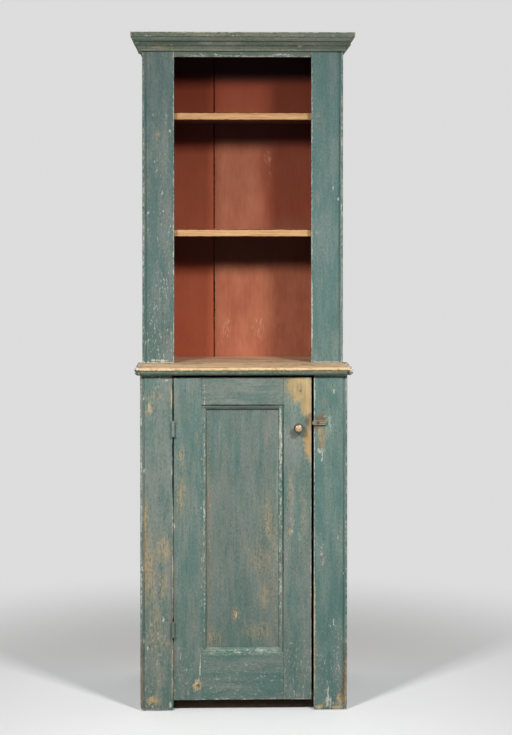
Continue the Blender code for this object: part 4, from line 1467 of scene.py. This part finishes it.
@dataclass
class WaistBoard(Assembly):
    """The moulded board at the step: bare on top and along its nose, green below.

    Attributes:
        top: The wood of the top.
        bay: The wood under the shelves.
        nose: The wood of the worn nose.
        honey: The old varnish that is left on it.
        chalk: The pale filler of the ends.
        crack: The dirt in their cracks.
        nose_drop: How far down the nose is bare.
        end: How far the chalky wear of the ends reaches.
        lip: How far back over the top the worn nose reaches.
        line_drop: How far under the nose its dark line runs, painted shade with dirt in the quirk.
    """

    body: str = "case"
    top: Pine = Pine(tone(230, 201, 162), tone(196, 162, 122), tone(140, 106, 78), 0.3)
    bay: Pine = Pine(tone(214, 184, 150), tone(172, 136, 106), tone(116, 86, 68), 0.4)
    nose: Pine = Pine(tone(227, 201, 161), tone(204, 174, 129), tone(168, 146, 110), 0.3)
    honey: Colour = tone(186, 144, 92)
    chalk: Colour = tone(224, 218, 206)
    crack: Colour = tone(58, 50, 44)
    nose_drop: float = 0.0066
    end: float = 0.024
    lip: float = 0.010
    line_drop: float = 0.0012

    def build(self) -> None:
        """Makes and dresses the two widths of the board."""
        blunt = Ageing(soften=0.0006, wander=0.0018, spacing=0.011, least=0.1)
        piece = self.board("waist_board_front", 40, blunt)
        self.seat(piece, "worn_pine", self.front_finish(), "waist_board_front")
        rear = self.bay.material("waist_board_rear_pine", Grain.ALONG, 66.0)
        piece = self.board("waist_board_rear", 41)
        self.seat(piece, "worn_pine", rear, "waist_board_rear")

    def front_finish(self) -> Material:
        """Bare wood on top, a cream nose, green paint under it and chalky ends.

        Returns:
            The finished material.
        """
        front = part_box("waist_board_front")
        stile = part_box("upper_left_stile")
        shade = Shade("waist_board_front_finish")
        across, deep, up = shade.axes
        plain, pores = self.top.layer(shade, Grain.ALONG, 60.0)
        dark, _ = self.bay.layer(shade, Grain.ALONG, 67.0)
        cream, _ = self.nose.layer(shade, Grain.ALONG, 64.0)
        weave = Weave(shade, Grain.ALONG, 61.0)
        band = shade.noise((0.130, 0.034, 0.030), 69.0, 3.0)
        blot = shade.noise((0.020, 0.050, 0.010), 62.0, 3.0)
        nick = shade.noise((0.0085, 0.030, 0.0045), 63.0)
        colour = shade.mix(deep.ease(stile[0].y, stile[1].y), plain, dark)
        colour = shade.mix(blot.ease(0.0, 1.0) * 0.45, colour, self.honey)
        colour = shade.mix((band + blot * 0.4).ease(0.0, 0.8) * 0.75, colour, self.top.dull)
        lip = (front[0].y + self.lip - deep) * 150.0 + nick * 0.5 + blot * 0.3
        lip = lip.ease(-0.6, 0.6)
        colour = shade.mix(lip, colour, cream)
        colour = shade.mix((nick + blot * 0.8).ease(0.0, 0.7) * lip * 0.75, colour, self.honey)
        paint = WornPaint(tone(98, 115, 100), tone(126, 128, 110), fade=-0.15)
        colour = shade.mix((blot * 0.8 - nick).ease(0.35, 0.9) * lip * 0.7, colour, self.top.dull)
        painted = ((front[1].z - self.nose_drop - up) * 500.0 + nick * 0.9 + blot * 0.4).ease(-0.3, 0.3)
        colour = shade.mix(painted, colour, paint.film(shade, weave))
        pale = (nick + weave.fleck * 0.6).ease(0.45, 1.1) * painted
        colour = shade.mix(pale * 0.5, colour, paint.ground)
        stained = (blot - nick * 0.5).ease(0.3, 1.0) * painted
        colour = shade.mix(stained * 0.5, colour, paint.stain)
        # Painted shade with dirt: a dark line in the quirk under the nose, with dark flecks on the paint
        quirk = front[1].z - self.nose_drop - self.line_drop
        line = (up - quirk).size() * -1000.0 + 1.1 + nick * 0.7
        dirty = line.ease(0.0, 0.6).most((weave.fleck * -0.6 - nick).ease(0.5, 1.1) * painted * 0.6)
        colour = shade.mix(dirty * 0.8, colour, paint.dirt)
        outer = (across.size() - (front[1].x - self.end)) * (1.2 / self.end)
        chalk = (outer + nick * 0.6 + blot * 0.4 - 0.2).ease(0.35, 0.9)
        colour = shade.mix(chalk * 0.8, colour, self.chalk)
        cracks = (outer + blot * 0.5 - nick * 1.2 - 0.3).ease(0.45, 1.0)
        colour = shade.mix(cracks * 0.8, colour, self.crack)
        return shade.finish(colour, 0.68, pores * 0.00004 + painted * 0.00012 - cracks * 0.0003, 0.2)


@dataclass
class Cornice(Assembly):
    """The mitred cornice in darker paint."""

    body: str = "case"
    paint: WornPaint = WornPaint(
        cool=tone(98, 114, 102),
        grey=tone(130, 136, 120),
        blue=tone(104, 118, 110),
        rosy=tone(134, 130, 116),
        warm=tone(160, 148, 118),
        ground=tone(196, 192, 174),
        edge=0.0022,
    )

    def build(self) -> None:
        """Makes and dresses the front length and its returns."""
        fine = Ageing(soften=0.0004, wander=0.0004, least=0.1)
        for seed, node in enumerate(("cornice_front", "cornice_left_return", "cornice_right_return")):
            material = self.paint.material(node, 70.0 + seed, CORNICE_RUBS)
            self.seat(self.board(node, 50 + seed, fine), "cornice_paint", material, node)


@dataclass
class Door(Assembly):
    """The framed door with its panel, pegs and knob.

    Attributes:
        patch: The wood of the bare patch over the knob.
        handled: The wood of the knob.
        knob_rim_dirt_and_shade: The dark at the knob's rim: its dirt, and painted shade where the dome
            turns away from the light.
        swell: How much wider the worn knob is than the turned one.
        quirk: How deep the quirk of the panel's moulding is.
        level: How close to that depth the quirk's floor lies.
        fills: The share of the quirk that paint fills, in the stiles and then in the rails.
        panel_face: How much of the panel's thickness has paint.
    """

    body: str = "door"
    ageing: Ageing = Ageing(soften=0.0003, wander=0.0004)
    patch: Pine = Pine(tone(206, 180, 134), tone(178, 150, 104), tone(142, 142, 110), 0.75)
    handled: Pine = Pine(tone(208, 184, 146), tone(164, 134, 98), tone(120, 98, 70), 0.3)
    knob_rim_dirt_and_shade: Colour = tone(78, 62, 44)
    swell: float = 1.12
    quirk: float = 0.005
    level: float = 0.0001
    fills: Tuple[float, ...] = (0.70, 0.25, 0.25, 0.76)
    panel_face: float = 0.003

    def build(self) -> None:
        """Makes and dresses the door's pieces."""
        self.build_framing()
        self.build_pegs()
        self.build_knob()

    def build_framing(self) -> None:
        """The stiles, rails and panel, bare behind."""
        boards = {
            "door_hinge_stile": WornPaint(fade=-0.15, edge=0.0016, bare=(-0.7, -0.5), thin=0.05),
            "door_latch_stile": WornPaint(
                wood=self.patch, fade=0.1, edge=0.0020, bare=(-0.5, 0.2), thin=0.05
            ),
            "door_top_rail": WornPaint(
                tone(93, 115, 107),
                tone(121, 128, 119),
                wood=self.patch,
                fade=0.10,
                edge=0.0012,
                bare=(-0.7, -0.7),
            ),
            "door_bottom_rail": WornPaint(fade=-0.3, edge=0.0014, bare=(-0.3, -0.3)),
        }
        for seed, ((node, paint), fill) in enumerate(zip(boards.items(), self.fills)):
            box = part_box(node)
            insides = [Inside(1, box[1].y - PAINT_LAP)]
            if node == "door_latch_stile":
                # The latch gap's face: dirt and painted shade
                insides.append(Inside(0, box[1].x - GAP_LAP, soot_and_shade=True))
            piece = Bench.copy_of(node, f"aged_{node}")
            self.fill_quirk(piece, box[0].y, fill)
            self.ageing.wear(piece, Grain.of(box), 60 + seed)
            self.seat(piece, "green_paint", paint.material(node, 80.0 + seed, DOOR_RUBS, insides), node)
        paint = WornPaint(
            tone(88, 113, 106),
            tone(115, 123, 114),
            fade=0.10,
            edge=0.0006,
            bare=(-0.9, -0.9),
            thin=-0.20,
            chips=-0.1,
        )
        insides = [Inside(1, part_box("door_panel")[0].y + self.panel_face)]
        material = paint.material("door_panel", 86.0, DOOR_RUBS, insides)
        self.seat(Bench.copy_of("door_panel", "aged_door_panel"), "green_paint", material, "door_panel")

    def fill_quirk(self, piece: Piece, face: float, fill: float) -> None:
        """Fills the quirk of the panel's moulding with old paint.

        Args:
            piece: The stile or the rail.
            face: How far forward its face lies.
            fill: The share of the quirk's depth that is filled.
        """
        Bench.clear(piece, "VERT")
        for vertex in piece.data.vertices:
            vertex.select = abs(vertex.co.y - face - self.quirk) < self.level
        with Bench.editing(piece):
            bpy.ops.transform.translate(value=(0.0, -fill * self.quirk, 0.0))

    def build_pegs(self) -> None:
        """The pegs' ends, darker than the boards round them."""
        paint = WornPaint(tone(106, 112, 92), tone(126, 124, 100), edge=0.0005, bare=(-0.5, -0.5))
        for seed, corner in enumerate(("top_left", "top_right", "bottom_left", "bottom_right")):
            node = f"door_peg_{corner}"
            insides = [Inside(1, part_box(node)[1].y - PAINT_LAP)]
            piece = Bench.copy_of(node, f"aged_{node}")
            Bench.smooth(piece, 40.0)
            self.seat(piece, "green_paint", paint.material(node, 90.0 + seed, (), insides), node)

    def build_knob(self) -> None:
        """The turned knob, polished by hands, with dirt and painted shade at its rim."""
        piece = Bench.copy_of("door_knob", "worn_door_knob")
        Bench.apply(piece, "SUBSURF", levels=2, render_levels=2)
        Bench.smooth(piece, 60.0)
        low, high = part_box("door_knob")
        middle = (low + high) / 2
        with Bench.editing(piece):
            bpy.ops.mesh.select_all(action="SELECT")
            bpy.ops.transform.resize(value=(self.swell, 1.0, self.swell), center_override=middle)
        shade = Shade("door_knob_wood")
        colour, pores = self.handled.layer(shade, Grain.DEEP, 96.0)
        radius = max(math.hypot(v.co.x - middle.x, v.co.z - middle.z) for v in piece.data.vertices)
        across = shade.axes[0] - middle.x
        up = shade.axes[2] - middle.z
        out = shade.math("SQRT", across * across + up * up)
        # Painted shade with dirt: darker towards the knob's rim
        colour = shade.mix(out.ease(0.36 * radius, 0.84 * radius) * 0.94, colour, self.knob_rim_dirt_and_shade)
        material = shade.finish(colour, 0.22, pores * 0.00003, 0.7)
        self.seat(piece, "turned_wood", material, "door_knob")


@dataclass
class TurnButton(Assembly):
    """The wooden button that holds the door."""

    body: str = "turn_button"
    wood: Pine = Pine(tone(152, 138, 114), tone(116, 102, 80), tone(80, 70, 56), 0.35)

    def build(self) -> None:
        """Makes and dresses the button."""
        piece = Bench.copy_of("turn_button", "worn_turn_button")
        Bench.smooth(piece, 35.0)
        material = self.wood.material("turn_button_wood", Grain.ALONG, 98.0)
        self.seat(piece, "turned_wood", material, "turn_button")


@dataclass(frozen=True)
class PaintedIron:
    """Iron that was painted over with the case.

    Attributes:
        paint: The paint that is left.
        metal: The iron where the paint is off.
        bare: How much of it is off, about -1 to 1.
    """

    paint: Colour = tone(120, 136, 126)
    metal: Colour = tone(74, 66, 58)
    bare: float = 0.0

    def material(self, name: str, seed: float) -> Material:
        """Wires the iron for one piece.

        Args:
            name: The material's name.
            seed: A shift that makes the pattern its own.

        Returns:
            The finished material.
        """
        shade = Shade(name)
        blotch = shade.noise((0.006, 0.006, 0.009), seed, 3.0)
        grit = shade.noise((0.0012, 0.0012, 0.0012), seed + 1.0)
        rust = (blotch + grit * 0.3 + self.bare).ease(0.2, 0.9)
        colour = shade.mix(rust, shade.lit(self.paint, grit * 0.08 + 1.0), self.metal)
        return shade.finish(colour, 0.62, grit * 0.00003 - rust * 0.0001, 0.3)


@dataclass
class Ironwork(Assembly):
    """The hinges and the button's screw.

    Attributes:
        slot_half: Half the width of the slot of the button's screw.
        slot_depth: That slot's depth.
    """

    slot_half: float = 0.0006
    slot_depth: float = 0.0012

    def build(self) -> None:
        """Makes and dresses the iron pieces of one body."""
        names = {
            "case": (
                "upper_hinge_frame_leaf",
                "lower_hinge_frame_leaf",
                "upper_hinge_pin",
                "lower_hinge_pin",
                "button_screw",
            ),
            "door": ("upper_hinge_door_leaf", "lower_hinge_door_leaf"),
        }
        for seed, node in enumerate(names[self.body]):
            piece = Bench.copy_of(node, f"worn_{node}")
            # Painted light and shade: the upper hinge's iron is painted light where it lies in shade, the
            # lower hinge's darker where its knuckle catches the light
            iron = PaintedIron(bare=-0.3)
            if "lower" in node:
                iron = PaintedIron(paint=tone(102, 118, 108), bare=-0.7)
            if node == "button_screw":
                Bench.cut_slot(piece, FRONT, self.slot_half, self.slot_depth)
                iron = PaintedIron(bare=1.2)
            Bench.smooth(piece, 35.0)
            self.seat(piece, "iron", iron.material(f"{node}_iron", 100.0 + seed), node)


@dataclass
class Fasteners(Assembly):
    """Nail heads and the screws of the hinges' leaves.

    Attributes:
        nail: The radius of a nail head.
        screw: The radius of a hinge screw's head.
        sink: How deep both are let in.
        rise: How far a nail head stands out.
        leaf_gap: How far a leaf's face is from the pin's axis.
        slot_half: Half the width of a screw's slot.
        slot_depth: That slot's depth.
    """

    nail: float = 0.0030
    screw: float = 0.0024
    sink: float = 0.0010
    rise: float = 0.0005
    leaf_gap: float = 0.0003
    slot_half: float = 0.00035
    slot_depth: float = 0.0006

    def head(self, name: str, radius: float, slotted: bool) -> Piece:
        """Models one head at the origin, with its face towards +Z.

        Args:
            name: The piece's name.
            radius: The head's radius.
            slotted: Whether it is a flat slotted screw or a domed nail.

        Returns:
            The piece.
        """
        bpy.ops.object.select_all(action="DESELECT")
        bpy.ops.mesh.primitive_cylinder_add(
            vertices=16, radius=radius, depth=self.sink, location=(0.0, 0.0, -self.sink / 2)
        )
        piece = bpy.context.active_object
        piece.name = name
        Bench.hold(piece)
        bpy.ops.object.transform_apply(location=True, rotation=True, scale=True)
        if slotted:
            Bench.cut_slot(piece, UP, self.slot_half, self.slot_depth)
            return piece
        for inset, lift in ((0.25, 0.6), (0.35, 0.4)):
            Bench.pick_cap(piece, UP)
            with Bench.editing(piece):
                bpy.ops.mesh.inset(thickness=inset * radius)
                bpy.ops.transform.translate(value=UP * (lift * self.rise))
        return piece

    def drive(self, pattern: Piece, name: str, place: Vector, out: Vector, turn: float) -> Piece:
        """Copies a head to its place.

        Args:
            pattern: The head at the origin.
            name: The copy's name.
            place: The point of the surface that it sits in.
            out: The direction that it faces.
            turn: The angle of its slot.

        Returns:
            The copy.
        """
        piece = Bench.link(name, pattern.data.copy())
        facing = out.to_track_quat("Z", "Y").to_matrix().to_4x4()
        piece.data.transform(Matrix.Translation(place) @ facing @ Matrix.Rotation(turn, 4, "Z"))
        Bench.smooth(piece, 30.0)
        return piece

    def build(self) -> None:
        """Drives the nails of the case and the screws of one body's leaves."""
        if self.body == "case":
            self.drive_nails()
        self.drive_screws()

    def drive_nails(self) -> None:
        """Nails through the stiles, sides and top, at the shelves' heights."""
        pattern = self.head("nail_pattern", self.nail, False)
        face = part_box("upper_left_stile")[0].y
        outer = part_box("right_side")[1].x
        spots = [((x, face, z), FRONT) for x, z in STILE_NAILS]
        for node, depths in SIDE_NAILS.items():
            low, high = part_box(node)
            for y in depths:
                for hand in (-1.0, 1.0):
                    spots.append(((hand * outer, y, (low.z + high.z) / 2), Vector((hand, 0.0, 0.0))))
        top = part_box("case_top")[1].z
        spots += [((x, y, top), UP) for x, y in TOP_NAILS]
        painted = PaintedIron(paint=tone(140, 152, 142), bare=-0.1)
        draw = random.Random(7)
        for index, (place, out) in enumerate(spots):
            name = f"nail_{index + 1:02d}"
            piece = self.drive(pattern, name, Vector(place), out, draw.uniform(0.0, 3.0))
            self.seat(piece, "iron", painted.material(f"{name}_iron", 120.0 + index))
        bpy.data.objects.remove(pattern)

    def drive_screws(self) -> None:
        """Three countersunk screws in each leaf of one body."""
        pattern = self.head("screw_pattern", self.screw, True)
        kind, hand = ("frame", 1.0) if self.body == "case" else ("door", -1.0)
        draw = random.Random(11)
        iron = PaintedIron(bare=0.6)
        for level in ("upper", "lower"):
            low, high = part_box(f"{level}_hinge_{kind}_leaf")
            pin_low, pin_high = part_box(f"{level}_hinge_pin")
            face = (pin_low.x + pin_high.x) / 2 - hand * self.leaf_gap
            for index, (share, back) in enumerate(LEAF_SCREWS):
                place = Vector((face, high.y - back, low.z + share * (high.z - low.z)))
                name = f"{level}_{kind}_leaf_screw_{index + 1}"
                piece = self.drive(pattern, name, place, Vector((hand, 0.0, 0.0)), draw.uniform(0.0, 3.0))
                self.seat(piece, "iron", iron.material(f"{name}_iron", 160.0 + index))
        bpy.data.objects.remove(pattern)


@dataclass(frozen=True)
class Lamp:
    """A square soft lamp.

    Attributes:
        name: Its name.
        place: Where it stands.
        aim: What it points at.
        side: The length of its side.
        power: Its power in watts.
        spread: How wide its light opens, in degrees.
    """

    name: str
    place: Tuple[float, float, float]
    aim: Tuple[float, float, float]
    side: float
    power: float
    spread: float = 180.0

    def build(self) -> None:
        """Hangs the lamp."""
        data = bpy.data.lights.new(self.name, "AREA")
        data.size = self.side
        data.energy = self.power
        data.spread = math.radians(self.spread)
        lamp = Bench.link(self.name, data)
        lamp.location = self.place
        lamp.rotation_euler = (Vector(self.aim) - Vector(self.place)).to_track_quat("-Z", "Y").to_euler()


@dataclass
class Studio:
    """The floor, the light and the camera.

    Attributes:
        pale: The level of the floor and of the ground behind.
        floor_grey: The floor's colour under the lamps.
        floor_bounce: How much of their light it throws back at the cupboard.
        front_light: The level of the light from all round the front.
        rear_light: The level of the light from all round the back.
        floor_radius: How wide the floor is.
        fade: How far off the floor starts and ends to turn into the ground behind.
        lens: The camera's focal length in millimetres.
        eye: Where the camera stands.
        turn: How far it looks to the right, in degrees.
        tilt: How far it looks up, in degrees.
        rise: How far its picture is shifted up.
        lamps: The lamps.
    """

    pale: float = 0.72
    floor_grey: float = 0.90
    floor_bounce: float = 0.42
    front_light: float = 0.02
    rear_light: float = 0.70
    floor_radius: float = 14.0
    fade: Tuple[float, float] = (0.5, 1.8)
    lens: float = 85.67
    eye: Tuple[float, float, float] = (-0.0914, -5.1225, 1.383)
    turn: float = 1.461
    tilt: float = -0.89
    rise: float = -0.162
    lamps: Tuple[Lamp, ...] = (
        Lamp("left_lamp", (-1.22, -2.10, 2.26), (0.0, -0.2, 0.45), 0.40, 13.7, 92.0),
        Lamp("right_lamp", (1.22, -2.10, 2.38), (0.0, -0.2, 0.45), 0.40, 13.9, 92.0),
    )

    def build(self) -> None:
        """Sets up the studio."""
        self.build_floor()
        self.build_world()
        self.build_camera()
        for lamp in self.lamps:
            lamp.build()
        bpy.context.scene.view_settings.view_transform = "Standard"

    @staticmethod
    def grey(level: float) -> Colour:
        """A grey of one level."""
        return (level, level, level, 1.0)

    def build_floor(self) -> None:
        """A wide floor that turns into the plain ground behind with distance."""
        bpy.ops.object.select_all(action="DESELECT")
        bpy.ops.mesh.primitive_circle_add(vertices=64, radius=self.floor_radius, fill_type="NGON")
        floor = bpy.context.active_object
        floor.name = "studio_floor"
        shade = Shade("studio_floor_grey")
        looked_at = shade.seen()
        colour = shade.mix(looked_at, self.grey(self.floor_bounce), self.grey(self.floor_grey))
        shade.wire(shade.shader, {"Base Color": colour, "Roughness": 0.9, "Specular IOR Level": 0.0})
        across, deep, _ = shade.axes
        far = shade.math("SQRT", across * across + deep * deep)
        glow = shade.add("ShaderNodeEmission", {"Color": self.grey(self.pale)})
        shade.blend(far.ease(*self.fade) * looked_at, shade.shader, glow, "Material Output")
        floor.data.materials.append(shade.material)

    def build_world(self) -> None:
        """Plain ground for the camera, and soft light that comes mostly from behind."""
        world = bpy.data.worlds.new("studio")
        bpy.context.scene.world = world
        world.use_nodes = True
        wiring = Wiring(world.node_tree)
        ground = wiring.nodes["Background"]
        wiring.wire(ground, {"Color": self.grey(self.pale)})
        _, deep, _ = wiring.parts(wiring.add("ShaderNodeTexCoord").outputs["Generated"])
        feeds = {"Value": deep, "From Min": -0.3, "From Max": 0.5}
        feeds.update({"To Min": self.front_light, "To Max": self.rear_light})
        level = wiring.add("ShaderNodeMapRange", feeds, interpolation_type="SMOOTHSTEP")
        ambient = wiring.add("ShaderNodeBackground", {"Strength": level.outputs["Result"]})
        wiring.blend(wiring.seen(), ambient, ground, "World Output")

    def build_camera(self) -> None:
        """The camera at the photograph's angle."""
        data = bpy.data.cameras.new("camera")
        data.lens = self.lens
        data.sensor_width = 36.0
        data.shift_y = self.rise
        camera = Bench.link("camera", data)
        camera.location = self.eye
        camera.rotation_euler = (math.radians(90.0 + self.tilt), 0.0, math.radians(-self.turn))
        bpy.context.scene.camera = camera


def main() -> None:
    """Builds the cupboard's looks and the studio around it."""
    logging.basicConfig(level=logging.INFO, format="%(name)s: %(message)s")
    for assembly in (
        Case(),
        FaceFrame(),
        WaistBoard(),
        Cornice(),
        Door(),
        TurnButton(),
        Ironwork("case"),
        Ironwork("door"),
        Fasteners("case"),
        Fasteners("door"),
    ):
        assembly.build()
        LOG.info("%s holds %d pieces", type(assembly).__name__, len(assembly.made))
    Studio().build()


if __name__ == "__main__":
    main()
